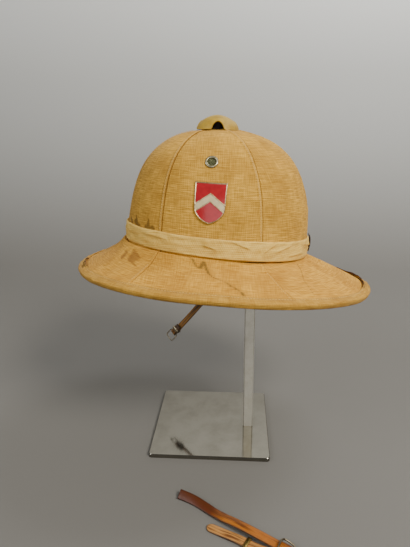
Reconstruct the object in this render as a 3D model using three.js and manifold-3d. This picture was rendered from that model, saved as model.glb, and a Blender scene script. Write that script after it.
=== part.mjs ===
// A cloth-covered pith helmet on a polished steel display stand, with the two halves of its torn chin strap.
// Millimetres, +Z up. The stand's foot is centred on the origin. The helmet's front points to -X, its rear to +X,
// and the wearer's left side, which carries the shield badge, faces -Y.
import * as THREE from "three";
import Module from "manifold-3d";
import { mergeVertices } from "three/addons/utils/BufferGeometryUtils.js";

const wasm = await Module();
wasm.setup();

// Driving dimensions of the crown
const crownLength = 204;
const crownWidth = 177;
const crownHeight = 127;
const crownPower = 2.6; // exponent of the crown's profile: 2 is an ellipse, more is squarer
const crownWall = 5;
const goreCount = 6;
const weltHeight = 0.7; // how far a gore seam stands proud
const weltHalfAngle = 1.4; // degrees of the ring, each side of the seam
const goreFlatness = 1.4; // how far the middle of a gore falls inside the round outline
const ventHoleRadius = 7.8;

// Driving dimensions of the brim
const brimFrontReach = 54;
const brimRearReach = 75;
const brimSideReach = 50;
const brimFrontDrop = 32;
const brimRearDrop = 35;
const brimSideDrop = 25.4;
const brimBow = -0.05; // share of the drop that gathers towards the rim
const brimThickness = 4;
const brimRootDepth = 4.6;

// Driving dimensions of the trimmings
const bindingWidth = 9;
const bindingThickness = 1.2;
const bandHeight = 21;
const bandThickness = 1.6;
const bandFoldDepth = 0.7;
const capRadius = 23.5;
const capHeight = 17;
const capWall = 1.3;
const capPinRadius = 2.2;
const capOffset = -6.4; // the cap and its hole sit this far from the crown's centre, towards the front
const capLean = 1.8; // degrees that the cap leans towards the front
const archCount = 4;
const archWidth = 12;
const archHeight = 9;
const archFlare = 2.2;
const socketFlangeRadius = 13;
const socketFlangeHeight = 1.6;
const socketTubeWall = 2;
const collarRadius = 11;
const collarWall = 1;
const collarHeight = 7.5; // how far the socket's collar stands above its flange
const spokeCount = 3;
const spokeWidth = 2.4;
const hubWall = 1.2;
const hubDepth = 1; // how far the hub reaches below the flange
const eyeletRadius = 6.7;
const eyeletOpening = 4.3;
const eyeletRimHeight = 1.1;
const eyeletTubeWall = 0.7;
const eyeletHeight = 95; // above the crown's base
const eyeletOffset = -5; // towards the front
const screenThickness = 0.8;
const badgeWidth = 32;
const badgeLength = 39;
const badgeThickness = 1.2;
const badgeHeight = 56; // centre, above the crown's base
const badgeOffset = -3;
const loopWidth = 8;
const loopThickness = 1.3;
const loopBottom = 1.5;
const loopTop = 20.5;
const loopBulge = 1.2;

// Driving dimensions of the straps and their hardware
const stubWidth = 8;
const looseWidth = 10;
const strapThickness = 1.8;
const ringWire = 1.3;
const ringWidth = 13;
const ringLength = 11;
const foldLength = 12;
const keeperLength = 4;
const keeperThickness = 0.8;
const rivetHeadRadius = 3.5;
const rivetHeadHeight = 1.2;
const buckleWire = 1.8;
const buckleWidth = 20;
const buckleLength = 15;

// Driving dimensions of the stand
const plateSide = 140;
const plateThickness = 5;
const plateCornerRadius = 3;
const plateBevel = 0.6;
const postWidth = 12;
const postDepth = 6;
const postX = 45.5;
const postY = -6;
const postChamfer = 1.2;
const armHeight = 6;
const armWidth = 10;
const stemRadius = 5;
const stemLength = 10; // between the arm and the pad
const padRadius = 20;
const padDepth = 9;

// How the helmet sits on the stand
const helmetX = 5;
const helmetY = 12;
const helmetBaseHeight = 236.6; // crown base above the floor
const helmetYaw = -2;
const helmetTilt = -2.8; // the wearer's left side is lifted
const helmetRoll = 3.6; // the rear hangs lower

const clearance = 0.3;
const padGap = 0.6; // the ceiling's flat facets come down into part of it

const degrees = Math.PI / 180;
const semiX = crownLength / 2;
const semiY = crownWidth / 2;

// Colours and finishes
const finish = (color, roughness, metalness) => new THREE.MeshStandardMaterial({ color, roughness, metalness });
const khakiCloth = finish(0xb98f4f, 0.95, 0);
const bandCloth = finish(0xb7a068, 0.95, 0);
const underCloth = finish(0x8f7a4c, 0.95, 0);
const paintedCap = finish(0x9c8a45, 0.5, 0.1);
const darkMetal = finish(0x3c3a33, 0.5, 0.6);
const eyeletMetal = finish(0x8b8562, 0.4, 0.7);
const screenMetal = finish(0x55594a, 0.6, 0.5);
const redEnamel = finish(0xb3242a, 0.3, 0.1);
const darkLeather = finish(0x2a1c12, 0.6, 0);
const brownLeather = finish(0x7d4420, 0.6, 0);
const nickel = finish(0xb0aca0, 0.3, 1);
const agedBrass = finish(0x9c8144, 0.35, 1);
const polishedSteel = finish(0xb4b2ac, 0.08, 1);

// Mesh helpers

// A closed solid from a grid of points whose rows and columns both run round and meet themselves.
function loopSolid(rowCount, columnCount, pointAt) {
  const positions = [];
  const faces = [];
  for (let row = 0; row < rowCount; row++) {
    for (let column = 0; column < columnCount; column++) {
      positions.push(...pointAt(row, column).toArray());
    }
  }
  const index = (row, column) => (row % rowCount) * columnCount + (column % columnCount);
  for (let row = 0; row < rowCount; row++) {
    for (let column = 0; column < columnCount; column++) {
      const a = index(row, column);
      const b = index(row + 1, column);
      const c = index(row + 1, column + 1);
      const d = index(row, column + 1);
      faces.push(a, b, c, a, c, d);
    }
  }
  return indexedGeometry(positions, faces);
}

// A closed solid from rows that run from end to end, each row a closed outline, with a flat cap at both ends.
function cappedSolid(rows) {
  const positions = rows.flat().flatMap((point) => point.toArray());
  const faces = [];
  const size = rows[0].length;
  for (let row = 0; row + 1 < rows.length; row++) {
    for (let column = 0; column < size; column++) {
      const next = (column + 1) % size;
      const a = row * size + column;
      const b = (row + 1) * size + column;
      const c = (row + 1) * size + next;
      const d = row * size + next;
      faces.push(a, b, c, a, c, d);
    }
  }
  const last = (rows.length - 1) * size;
  for (let column = 1; column + 1 < size; column++) {
    faces.push(0, column, column + 1);
    faces.push(last, last + column + 1, last + column);
  }
  return indexedGeometry(positions, faces);
}

function indexedGeometry(positions, faces) {
  const geometry = new THREE.BufferGeometry();
  geometry.setAttribute("position", new THREE.Float32BufferAttribute(positions, 3));
  geometry.setIndex(faces);
  if (signedVolume(geometry) < 0) {
    geometry.setIndex(faces.map((_, i) => faces[i - (i % 3) + [0, 2, 1][i % 3]]));
  }
  geometry.computeVertexNormals();
  return geometry;
}

function signedVolume(geometry) {
  const position = geometry.getAttribute("position");
  const [a, b, c] = [new THREE.Vector3(), new THREE.Vector3(), new THREE.Vector3()];
  let volume = 0;
  for (let i = 0; i < geometry.index.count; i += 3) {
    a.fromBufferAttribute(position, geometry.index.getX(i));
    b.fromBufferAttribute(position, geometry.index.getX(i + 1));
    c.fromBufferAttribute(position, geometry.index.getX(i + 2));
    volume += a.dot(b.cross(c)) / 6;
  }
  return volume;
}

function toManifold(geometry) {
  const bare = geometry.clone();
  bare.deleteAttribute("normal");
  bare.deleteAttribute("uv");
  const merged = mergeVertices(bare, 1e-4);
  return new wasm.Manifold(
    new wasm.Mesh({
      numProp: 3,
      vertProperties: merged.getAttribute("position").array,
      triVerts: new Uint32Array(merged.index.array),
    }),
  );
}

function fromManifold(solid) {
  const made = solid.getMesh();
  const geometry = new THREE.BufferGeometry();
  geometry.setAttribute("position", new THREE.Float32BufferAttribute(made.vertProperties, 3));
  geometry.setIndex(Array.from(made.triVerts));
  geometry.computeVertexNormals();
  return geometry;
}

function namedMesh(name, geometry, material) {
  const mesh = new THREE.Mesh(geometry, material);
  mesh.name = name;
  return mesh;
}

const vec = (x, y, z) => new THREE.Vector3(x, y, z);

// A box or cylinder as a geometry, already moved to its place.
const placedBox = (sizeX, sizeY, sizeZ, x, y, z) => new THREE.BoxGeometry(sizeX, sizeY, sizeZ).translate(x, y, z);
const uprightCylinder = (radius, height, segments, baseZ) =>
  new THREE.CylinderGeometry(radius, radius, height, segments).rotateX(Math.PI / 2).translate(0, 0, baseZ + height / 2);

// The shape of the crown

// The crown's outline as a share of its outline at the base, from a share of its height, and the other way round.
const crownProfile = (share) => (1 - share ** crownPower) ** (1 / crownPower);

function crownShare(z, height = crownHeight) {
  return crownProfile(Math.min(Math.max(z / height, 0), 1));
}

// How far a gore's flattened middle lies inside the round outline, at a ring angle and height.
function goreSag(angle, z) {
  const acrossGore = (1 - Math.cos(goreCount * angle)) / 2;
  return goreFlatness * acrossGore * Math.sin(Math.PI * Math.min(Math.max(z / crownHeight, 0), 1));
}

// A point of the crown's outer surface, or of one that lies an offset outside it, at a ring angle and height.
function crownPoint(angle, z, offset = 0) {
  const share = crownShare(z);
  const outwards = offset - goreSag(angle, z);
  return vec((semiX * share + outwards) * Math.cos(angle), (semiY * share + outwards) * Math.sin(angle), z);
}

// The outward direction of the crown's surface at a point.
function crownNormal(point) {
  const plan = (point.x / semiX) ** 2 + (point.y / semiY) ** 2;
  const side = plan ** (crownPower / 2 - 1);
  return vec(
    (side * point.x) / semiX ** 2,
    (side * point.y) / semiY ** 2,
    point.z ** (crownPower - 1) / crownHeight ** crownPower,
  ).normalize();
}

// The point of the crown's left side, or of its right side, at a distance along the helmet and a height.
function crownSidePoint(x, z, side = -1) {
  return crownPoint(side * Math.acos(x / (semiX * crownShare(z))), z);
}

// A point slid along the crown towards the front, the more the higher it is, so that the gores meet at the cap.
function drawnToCap(point, inset) {
  const width = semiX - inset;
  const depth = semiY - inset;
  const height = crownHeight - inset;
  const slide = (capOffset + inset * Math.tan(capLean * degrees)) * (point.z / height) ** 2;
  const normal = crownNormal(point);
  const moved = point.clone().add(vec(slide, 0, 0)).addScaledVector(normal, -slide * normal.x);
  const plan = (moved.x / width) ** 2 + (moved.y / depth) ** 2;
  return moved.divideScalar((plan ** (crownPower / 2) + (moved.z / height) ** crownPower) ** (1 / crownPower));
}

// The ring angles that every ring of the helmet uses: even steps, with three close together at each gore seam.
const stepsPerGore = 7;
const ringAngles = [];
const onSeam = [];
for (let gore = 0; gore < goreCount; gore++) {
  const seam = (gore * 360) / goreCount;
  const span = 360 / goreCount - 2 * weltHalfAngle;
  ringAngles.push(seam * degrees);
  onSeam.push(1);
  for (let step = 0; step <= stepsPerGore; step++) {
    ringAngles.push((seam + weltHalfAngle + (span * step) / stepsPerGore) * degrees);
    onSeam.push(0);
  }
}
const ringCount = ringAngles.length;

// Crown: a hollow dome of six sewn gores, open below and pierced by the vent hole and two eyelet holes.
function crownGeometry() {
  const outerRows = 15;
  const innerRows = 10;
  const surfaceRow = (rise, inset) => {
    const width = semiY - inset;
    const top = Math.acos((ventHoleRadius / width) ** (crownPower / 2));
    const turn = rise * top;
    return {
      share: Math.cos(turn) ** (2 / crownPower),
      z: (crownHeight - inset) * Math.sin(turn) ** (2 / crownPower),
    };
  };
  const section = [];
  for (let row = 0; row < outerRows; row++) {
    section.push({ ...surfaceRow(row / (outerRows - 1), 0), inset: 0 });
  }
  for (let row = innerRows - 1; row >= 0; row--) {
    section.push({ ...surfaceRow(row / (innerRows - 1), crownWall), inset: crownWall });
  }
  return loopSolid(ringCount, section.length, (ring, column) => {
    const { share, z, inset } = section[column];
    const angle = ringAngles[ring];
    const welt = inset ? 0 : weltHeight * onSeam[ring] * Math.min(1, share * 2);
    const outwards = welt - goreSag(angle, z);
    const point = drawnToCap(
      vec((semiX - inset) * share * Math.cos(angle), (semiY - inset) * share * Math.sin(angle), z),
      inset,
    );
    return point.add(vec(outwards * Math.cos(angle), outwards * Math.sin(angle), 0));
  });
}

// Brim: a stiff sheet that leaves the crown's base and falls to the rim, longest at the rear.
function brimFrame(angle) {
  const c = Math.cos(angle);
  const s = Math.sin(angle);
  const endReach = c > 0 ? brimRearReach : brimFrontReach;
  const endDrop = c > 0 ? brimRearDrop : brimFrontDrop;
  const root = vec(semiX * c, semiY * s, 0);
  const rim = vec((semiX + endReach) * c, (semiY + brimSideReach) * s, 0);
  const reach = rim.distanceTo(root);
  return { root, reach, out: rim.clone().sub(root).normalize(), drop: brimSideDrop + (endDrop - brimSideDrop) * c * c };
}

// A point of the brim's top at a share of the way to the rim, moved along its upward normal and outwards.
function brimPoint(angle, share, lift = 0, along = 0) {
  const { root, reach, out, drop } = brimFrame(angle);
  const fall = drop * ((1 - brimBow) * share + brimBow * share * share);
  const steepness = (drop * (1 - brimBow + 2 * brimBow * share)) / reach;
  const length = Math.hypot(1, steepness);
  return root
    .clone()
    .addScaledVector(out, reach * share + (along + lift * steepness) / length)
    .add(vec(0, 0, -clearance - fall + (lift - along * steepness) / length));
}

function brimGeometry() {
  const shares = [0, 0.22, 0.45, 0.68, 0.85, 1];
  const innerEdge = (angle, z) =>
    vec((semiX - crownWall) * Math.cos(angle), (semiY - crownWall) * Math.sin(angle), z - clearance);
  const section = [
    (angle) => innerEdge(angle, 0),
    ...shares.map((share) => (angle, welt) => brimPoint(angle, share, share > 0.1 && share < 0.8 ? welt : 0)),
    ...shares.toReversed().map((share) => (angle) => brimPoint(angle, share, -brimThickness)),
    (angle) => innerEdge(angle, -brimRootDepth),
  ];
  return loopSolid(ringCount, section.length, (ring, column) =>
    section[column](ringAngles[ring], weltHeight * 0.6 * onSeam[ring]),
  );
}

// Rim binding: a tape folded over the brim's edge, with a leg above and a leg below.
function bindingGeometry() {
  const nearTop = clearance;
  const farTop = clearance + bindingThickness;
  const nearUnder = -brimThickness - clearance;
  const farUnder = nearUnder - bindingThickness;
  const corner = bindingThickness * 0.4;
  const section = [
    { along: -bindingWidth, lift: nearTop },
    { along: clearance, lift: nearTop },
    { along: clearance, lift: nearUnder },
    { along: -bindingWidth, lift: nearUnder },
    { along: -bindingWidth, lift: farUnder },
    { along: clearance, lift: farUnder },
    { along: farTop - corner, lift: farUnder + corner },
    { along: farTop, lift: -brimThickness / 2 },
    { along: farTop - corner, lift: farTop - corner },
    { along: clearance, lift: farTop },
    { along: -bindingWidth, lift: farTop },
  ];
  return loopSolid(ringCount, section.length, (ring, column) => {
    const { along, lift } = section[column];
    return brimPoint(ringAngles[ring], 1, lift, along);
  });
}

// Hat band: a folded cloth strip round the crown's base. Each row is a share of its height and of its fold depth.
const bandFolds = [
  { height: 0, depth: 0.3 },
  { height: 0.1, depth: 0.9 },
  { height: 0.32, depth: 0.3 },
  { height: 0.4, depth: 1 },
  { height: 0.62, depth: 0.35 },
  { height: 0.7, depth: 0.9 },
  { height: 0.92, depth: 0.6 },
  { height: 1, depth: 0.1 },
];

function bandGeometry() {
  const inner = [1, 0.5, 0];
  const innerOffset = clearance;
  const section = [
    ...bandFolds.map(({ height, depth }) => ({ height, offset: innerOffset + bandThickness + bandFoldDepth * depth })),
    ...inner.map((height) => ({ height, offset: innerOffset })),
  ];
  return loopSolid(ringCount, section.length, (ring, column) => {
    const { height, offset } = section[column];
    return crownPoint(ringAngles[ring], clearance + height * bandHeight, offset + weltHeight * onSeam[ring]);
  });
}

// Vent cap: a thin pressed dome with arched mouths round its edge and a pin that drops into the socket.
const flangeBase = crownHeight + clearance;
const pinBase = flangeBase - hubDepth;
const capBase = crownHeight * crownProfile((capRadius - capWall) / semiX) + clearance;

// Puts the cap, or its socket, over the vent hole and leans it.
const overVentHole = (geometry) =>
  geometry
    .translate(0, 0, -crownHeight)
    .rotateY(-capLean * degrees)
    .translate(capOffset, 0, crownHeight);

function capGeometry() {
  const steps = 8;
  const profile = [];
  for (let step = 0; step <= steps; step++) {
    const turn = (step / steps) * (Math.PI / 2);
    profile.push(new THREE.Vector2(capRadius * Math.cos(turn), capHeight * Math.sin(turn)));
  }
  profile[steps].x = 0;
  const pinTop = capHeight - capWall;
  const pinBottom = pinBase - capBase;
  profile.push(new THREE.Vector2(0, pinBottom), new THREE.Vector2(capPinRadius, pinBottom));
  profile.push(new THREE.Vector2(capPinRadius, pinTop - capWall));
  for (let step = steps - 2; step >= 0; step--) {
    const turn = (step / steps) * (Math.PI / 2);
    profile.push(
      new THREE.Vector2((capRadius - capWall) * Math.cos(turn), (capHeight - capWall) * Math.sin(turn)),
    );
  }
  profile.push(profile[0].clone());
  const dome = new THREE.LatheGeometry(profile, 28).rotateX(Math.PI / 2);
  let cap = toManifold(dome);
  for (let arch = 0; arch < archCount; arch++) {
    cap = cap.subtract(toManifold(archCutter().rotateZ((arch * 2 * Math.PI) / archCount - Math.PI / 2)));
  }
  return overVentHole(fromManifold(cap).translate(0, 0, capBase));
}

// The outline of one mouth: a round arch whose feet flare out, pushed through the cap's wall along +X.
function archCutter() {
  const half = archWidth / 2;
  const below = 2;
  const shape = new THREE.Shape();
  shape.moveTo(-half - archFlare, -below);
  shape.lineTo(-half - archFlare, 0);
  shape.quadraticCurveTo(-half, 0, -half, archFlare);
  shape.absellipse(0, archFlare, half, archHeight - archFlare, Math.PI, 0, true);
  shape.quadraticCurveTo(half, 0, half + archFlare, 0);
  shape.lineTo(half + archFlare, -below);
  const length = capRadius;
  return new THREE.ExtrudeGeometry(shape, { depth: length, bevelEnabled: false, curveSegments: 8 })
    .rotateX(Math.PI / 2)
    .rotateZ(Math.PI / 2)
    .translate(capRadius / 3, 0, 0);
}

// Vent socket: a flanged tube in the vent hole, with a collar above it and spokes to a hub that takes the cap's pin.
function socketGeometry() {
  const tubeOuter = ventHoleRadius - clearance;
  const tubeInner = tubeOuter - socketTubeWall;
  const tubeLength = crownWall + clearance;
  const pinBoreRadius = capPinRadius + clearance;
  const throughLength = 3 * (tubeLength + socketFlangeHeight);
  const flange = toManifold(uprightCylinder(socketFlangeRadius, socketFlangeHeight, 24, flangeBase));
  const tube = toManifold(
    uprightCylinder(tubeOuter, tubeLength + socketFlangeHeight / 2, 24, flangeBase - tubeLength),
  );
  const bore = toManifold(uprightCylinder(tubeInner, throughLength, 24, flangeBase - throughLength / 2));
  const hub = toManifold(uprightCylinder(pinBoreRadius + hubWall, socketFlangeHeight + hubDepth, 20, pinBase));
  const pinBore = toManifold(uprightCylinder(pinBoreRadius, throughLength, 20, flangeBase - throughLength / 2));
  const spokeLength = tubeInner + socketTubeWall / 2;
  const flangeTop = flangeBase + socketFlangeHeight;
  const collarFoot = socketFlangeHeight / 2; // sunk into the flange, so that the two join
  const collarOuter = uprightCylinder(collarRadius, collarHeight + collarFoot, 24, flangeTop - collarFoot);
  const collarInner = uprightCylinder(collarRadius - collarWall, 3 * collarHeight, 24, flangeTop);
  const collar = toManifold(collarOuter).subtract(toManifold(collarInner));
  let socket = flange.add(tube).subtract(bore).add(hub).add(collar);
  for (let spoke = 0; spoke < spokeCount; spoke++) {
    const bar = placedBox(spokeLength, spokeWidth, socketFlangeHeight, spokeLength / 2, 0, 0)
      .rotateZ((spoke * 2 * Math.PI) / spokeCount)
      .translate(0, 0, flangeBase + socketFlangeHeight / 2);
    socket = socket.add(toManifold(bar));
  }
  return overVentHole(fromManifold(socket.subtract(pinBore)));
}

// Side eyelets: a rolled ring with a tube through the crown's wall, and a pierced screen inside it.
const eyeletSeat = (side) => {
  const point = crownSidePoint(eyeletOffset, eyeletHeight, side);
  const turn = new THREE.Quaternion().setFromUnitVectors(vec(0, 0, 1), crownNormal(point));
  return { point, turn };
};

function seatOnCrown(geometry, side) {
  const { point, turn } = eyeletSeat(side);
  return geometry.applyQuaternion(turn).translate(point.x, point.y, point.z);
}

const eyeletLift = clearance + 0.25; // clears the crown's curve under the ring's edge

function eyeletGeometry(side) {
  const outer = eyeletRadius;
  const tube = eyeletOpening + eyeletTubeWall;
  const top = eyeletLift + eyeletRimHeight;
  const profile = [
    [eyeletOpening, -crownWall],
    [tube, -crownWall],
    [tube, eyeletLift],
    [outer, eyeletLift],
    [outer, eyeletLift + eyeletRimHeight * 0.4],
    [outer - 0.6, top],
    [eyeletOpening + 0.4, top],
    [eyeletOpening, eyeletLift + eyeletRimHeight * 0.4],
    [eyeletOpening, -crownWall],
  ].map(([r, z]) => new THREE.Vector2(r, z));
  return seatOnCrown(new THREE.LatheGeometry(profile, 20).rotateX(Math.PI / 2), side);
}

function screenGeometry(side) {
  const disc = uprightCylinder(eyeletOpening - clearance, screenThickness, 20, -screenThickness);
  return seatOnCrown(disc, side);
}

function pierceForEyelets(crown) {
  const holeRadius = eyeletOpening + eyeletTubeWall + clearance;
  let pierced = toManifold(crown);
  for (const side of [-1, 1]) {
    const drill = uprightCylinder(holeRadius, crownWall * 4, 20, -crownWall * 2);
    pierced = pierced.subtract(toManifold(seatOnCrown(drill, side)));
  }
  return fromManifold(pierced);
}

// Shield badge: a thin curved plate that follows the crown. Each row is a share of its length and half width.
const badgeOutline = [
  { down: 0, half: 0.96 },
  { down: 0.05, half: 0.98 },
  { down: 0.2, half: 1 },
  { down: 0.4, half: 0.99 },
  { down: 0.55, half: 0.96 },
  { down: 0.66, half: 0.88 },
  { down: 0.75, half: 0.76 },
  { down: 0.83, half: 0.59 },
  { down: 0.9, half: 0.4 },
  { down: 0.96, half: 0.18 },
  { down: 1, half: 0.03 },
];

function badgeGeometry() {
  const columns = 8;
  const rows = badgeOutline.map(({ down, half }) => {
    const z = badgeHeight + badgeLength * (0.5 - down);
    const layer = (offset) =>
      Array.from({ length: columns + 1 }, (_, i) => {
        const x = badgeOffset + (half * badgeWidth * (i / columns - 0.5));
        const point = crownSidePoint(x, z);
        return point.addScaledVector(crownNormal(point), offset);
      });
    return [...layer(clearance + badgeThickness), ...layer(clearance).toReversed()];
  });
  return stripSolid(rows, columns + 1);
}

// A closed solid from rows that hold a front layer and a mirrored back layer, so both end caps are strips.
function stripSolid(rows, width) {
  const size = rows[0].length;
  const positions = rows.flat().flatMap((point) => point.toArray());
  const faces = [];
  for (let row = 0; row + 1 < rows.length; row++) {
    for (let column = 0; column < size; column++) {
      const next = (column + 1) % size;
      const a = row * size + column;
      const b = (row + 1) * size + column;
      const c = (row + 1) * size + next;
      const d = row * size + next;
      faces.push(a, b, c, a, c, d);
    }
  }
  const last = (rows.length - 1) * size;
  for (let i = 0; i + 1 < width; i++) {
    const [front, frontNext, back, backNext] = [i, i + 1, size - 1 - i, size - 2 - i];
    faces.push(front, frontNext, backNext, front, backNext, back);
    faces.push(last + front, last + backNext, last + frontNext, last + front, last + back, last + backNext);
  }
  return indexedGeometry(positions, faces);
}

// Rear loop: a dark leather keeper that bridges the band at the back of the crown.
function rearLoopGeometry() {
  const stations = 9;
  const seat = clearance * 2 + bandThickness + bandFoldDepth + weltHeight;
  const rows = [];
  for (let i = 0; i < stations; i++) {
    const share = i / (stations - 1);
    const z = loopBottom + (loopTop - loopBottom) * share;
    const offset = seat + loopBulge * Math.sin(Math.PI * share) - (share === 1 ? bandFoldDepth : 0);
    const surface = semiX * crownShare(z) + offset;
    const y = loopWidth / 2;
    rows.push([
      vec(surface, -y, z),
      vec(surface + loopThickness, -y, z),
      vec(surface + loopThickness, y, z),
      vec(surface, y, z),
    ]);
  }
  return cappedSolid(rows);
}

// Straps

// A flat strap: centre-line points, the direction that its face looks in at each, its width and its thickness.
function strapGeometry(points, faces, width, thickness) {
  const rows = points.map((point, i) => {
    const before = points[Math.max(i - 1, 0)];
    const after = points[Math.min(i + 1, points.length - 1)];
    const along = after.clone().sub(before).normalize();
    const face = faces[i].clone().addScaledVector(along, -faces[i].dot(along)).normalize();
    const across = along.clone().cross(face);
    const corner = (side, height) =>
      point
        .clone()
        .addScaledVector(across, (side * width) / 2)
        .addScaledVector(face, (height * thickness) / 2);
    return [corner(-1, -1), corner(1, -1), corner(1, 1), corner(-1, 1)];
  });
  return cappedSolid(rows);
}

// A closed wire loop: its centre-line in a plane, as a rounded rectangle whose straight bars are as wide as the
// strap on them, with a round section.
function wireLoopGeometry(width, length, bar, wire, origin, across, along) {
  const perCorner = 3;
  const sides = 8;
  const cornerRadius = Math.min(width - bar, length) / 2;
  const up = across.clone().cross(along).normalize();
  const centreline = [];
  for (let corner = 0; corner < 4; corner++) {
    const signX = corner === 0 || corner === 3 ? 1 : -1;
    const signY = corner < 2 ? 1 : -1;
    for (let i = 0; i <= perCorner; i++) {
      const turn = (corner + i / perCorner) * (Math.PI / 2);
      centreline.push({
        x: signX * (width / 2 - cornerRadius) + cornerRadius * Math.cos(turn),
        y: signY * (length / 2 - cornerRadius) + cornerRadius * Math.sin(turn),
        turn,
      });
    }
  }
  return loopSolid(centreline.length, sides, (row, column) => {
    const { x, y, turn } = centreline[row];
    const around = (column / sides) * 2 * Math.PI;
    const swell = (wire / 2) * Math.cos(around);
    return origin
      .clone()
      .addScaledVector(across, x + swell * Math.cos(turn))
      .addScaledVector(along, y + swell * Math.sin(turn))
      .addScaledVector(up, (wire / 2) * Math.sin(around));
  });
}

// A metal band that wraps a strap or two layers of it: a rectangular sleeve along a direction.
function sleeveGeometry(origin, along, face, innerWidth, innerHeight, length, wall) {
  const across = along.clone().cross(face).normalize();
  const corners = (width, height) => [
    [-width / 2, -height / 2],
    [width / 2, -height / 2],
    [width / 2, height / 2],
    [-width / 2, height / 2],
  ];
  const outer = corners(innerWidth + 2 * wall, innerHeight + 2 * wall);
  const inner = corners(innerWidth, innerHeight);
  const place = ([x, y], z) =>
    origin.clone().addScaledVector(across, x).addScaledVector(face, y).addScaledVector(along, z);
  return loopSolid(4, 4, (row, column) => {
    const [outline, z] = [
      [outer, -length / 2],
      [outer, length / 2],
      [inner, length / 2],
      [inner, -length / 2],
    ][column];
    return place(outline[row], z);
  });
}

// The stations of a strap that turns back round a wire, from its last point to the first one of its return. The
// two directions needn't be opposite: then the strap also steps sideways, like a thread, as it goes round.
function foldStations(start, inwards, outwards, face, radius, steps) {
  const forward = inwards.clone().sub(outwards);
  const drift = inwards.clone().add(outwards).divideScalar(forward.length());
  forward.normalize();
  const stations = [];
  for (let i = 1; i <= steps; i++) {
    const turn = (i / steps) * Math.PI;
    const facing = face.clone().multiplyScalar(Math.cos(turn)).addScaledVector(forward, Math.sin(turn));
    const point = start
      .clone()
      .addScaledVector(face, -radius)
      .addScaledVector(facing, radius)
      .addScaledVector(drift, radius * turn);
    stations.push({ point, face: facing });
  }
  return stations;
}

const helmetPlace = new THREE.Matrix4().compose(
  vec(helmetX, helmetY, helmetBaseHeight),
  new THREE.Quaternion().setFromEuler(
    new THREE.Euler(helmetTilt * degrees, helmetRoll * degrees, helmetYaw * degrees, "YXZ"),
  ),
  vec(1, 1, 1),
);
const helmetTurn = new THREE.Matrix4().extractRotation(helmetPlace);

// Strap stub: riveted inside the crown on the right, it leaves below the brim and ends folded round a ring.
const stubRoute = [
  vec(9, 74.5, 170.5),
  vec(-14.1, 73.3, 142.4),
  vec(-20.3, 73, 135.1),
  vec(-38.6, 73, 113.2),
  vec(-47, 73, 103.6),
  vec(-54.6, 73, 94.7),
];
const stubFace = vec(0.467, 0.804, -0.369).normalize();
const anchorAngle = 57 * degrees;
const anchorTop = 18;
const anchorBottom = 3;
const foldRadius = ringWire / 2 + clearance + strapThickness / 2;

function anchorPoint(z, depth) {
  const inner = crownWall + depth;
  const share = crownShare(z, crownHeight - crownWall);
  return vec((semiX - inner) * share * Math.cos(anchorAngle), (semiY - inner) * share * Math.sin(anchorAngle), z);
}

function stubStations() {
  const wallFace = vec(Math.cos(anchorAngle) / semiX, Math.sin(anchorAngle) / semiY, 0).normalize();
  const wallDepth = 3 * clearance + strapThickness / 2;
  const insideFace = wallFace.clone().applyMatrix4(helmetTurn);
  const stations = [anchorTop, (anchorTop + anchorBottom) / 2, anchorBottom].map((z) => ({
    point: anchorPoint(z, wallDepth).applyMatrix4(helmetPlace),
    face: insideFace,
  }));
  const bend = anchorPoint(-14, wallDepth + 5).applyMatrix4(helmetPlace);
  stations.push({ point: bend, face: insideFace.clone().lerp(stubFace, 0.5).normalize() });
  for (const point of stubRoute) {
    stations.push({ point, face: stubFace });
  }
  const end = stubRoute.at(-1);
  const along = end.clone().sub(stubRoute.at(-2)).normalize();
  const face = stubFace.clone().addScaledVector(along, -stubFace.dot(along)).normalize();
  const centre = end.clone().addScaledVector(face, -foldRadius);
  stations.push(...foldStations(end, along, along.clone().negate(), face, foldRadius, 6));
  const back = stations.at(-1);
  stations.push({ point: back.point.clone().addScaledVector(along, -foldLength), face: back.face });
  return { stations, centre, along, face };
}

// Loose strap: it lies on the floor in front of the stand, folds round the buckle and comes back beside itself.
// Each row is a place on the floor, the air below the strap there, and its lean towards the front in degrees.
const looseRoute = [
  { x: -27, y: -130, air: 0.8, lean: 34 },
  { x: -18, y: -133.5, air: 0.5, lean: 30 },
  { x: -9, y: -138, air: 0.3, lean: 24 },
  { x: 1, y: -144.6, air: 0.4, lean: 15 },
  { x: 10, y: -151.3, air: 0.8, lean: 8 },
  { x: 20, y: -158.5, air: 2.6, lean: 3 },
  { x: 30, y: -165.3, air: 4.6, lean: 0 },
  { x: 41, y: -172.7, air: 5.8, lean: 0 },
  { x: 53, y: -179.6, air: 5.4, lean: 0 },
  { x: 66, y: -187.1, air: 4.7, lean: 0 },
  { x: 84, y: -198.6, air: 4.5, lean: 0 },
];
const returnRoute = [
  { x: 70, y: -195.8, air: 0.3 },
  { x: 57, y: -193.2, air: 1.1 },
  { x: 46, y: -188.4, air: 1.25, slider: true },
  { x: 34, y: -182, air: 1.25 },
  { x: 19, y: -174.6, air: 0.4 },
  { x: 4.5, y: -167.5, air: 0.1 },
];
const sliderRow = returnRoute.findIndex((row) => row.slider); // the slider sits on the stretch that follows this row
const bendRadius = buckleWire / 2 + clearance + strapThickness / 2;

function floorStation({ x, y, air, lean = 0 }, along) {
  const up = vec(0, 0, 1);
  const across = along.clone().cross(up);
  const slope = lean * degrees;
  const face = up.multiplyScalar(Math.cos(slope)).addScaledVector(across, Math.sin(slope));
  const halfRise = (looseWidth * Math.sin(slope) + strapThickness * Math.cos(slope)) / 2;
  return { point: vec(x, y, air + halfRise), face };
}

const floorDirection = (from, to) => vec(to.x - from.x, to.y - from.y, 0).normalize();

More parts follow.
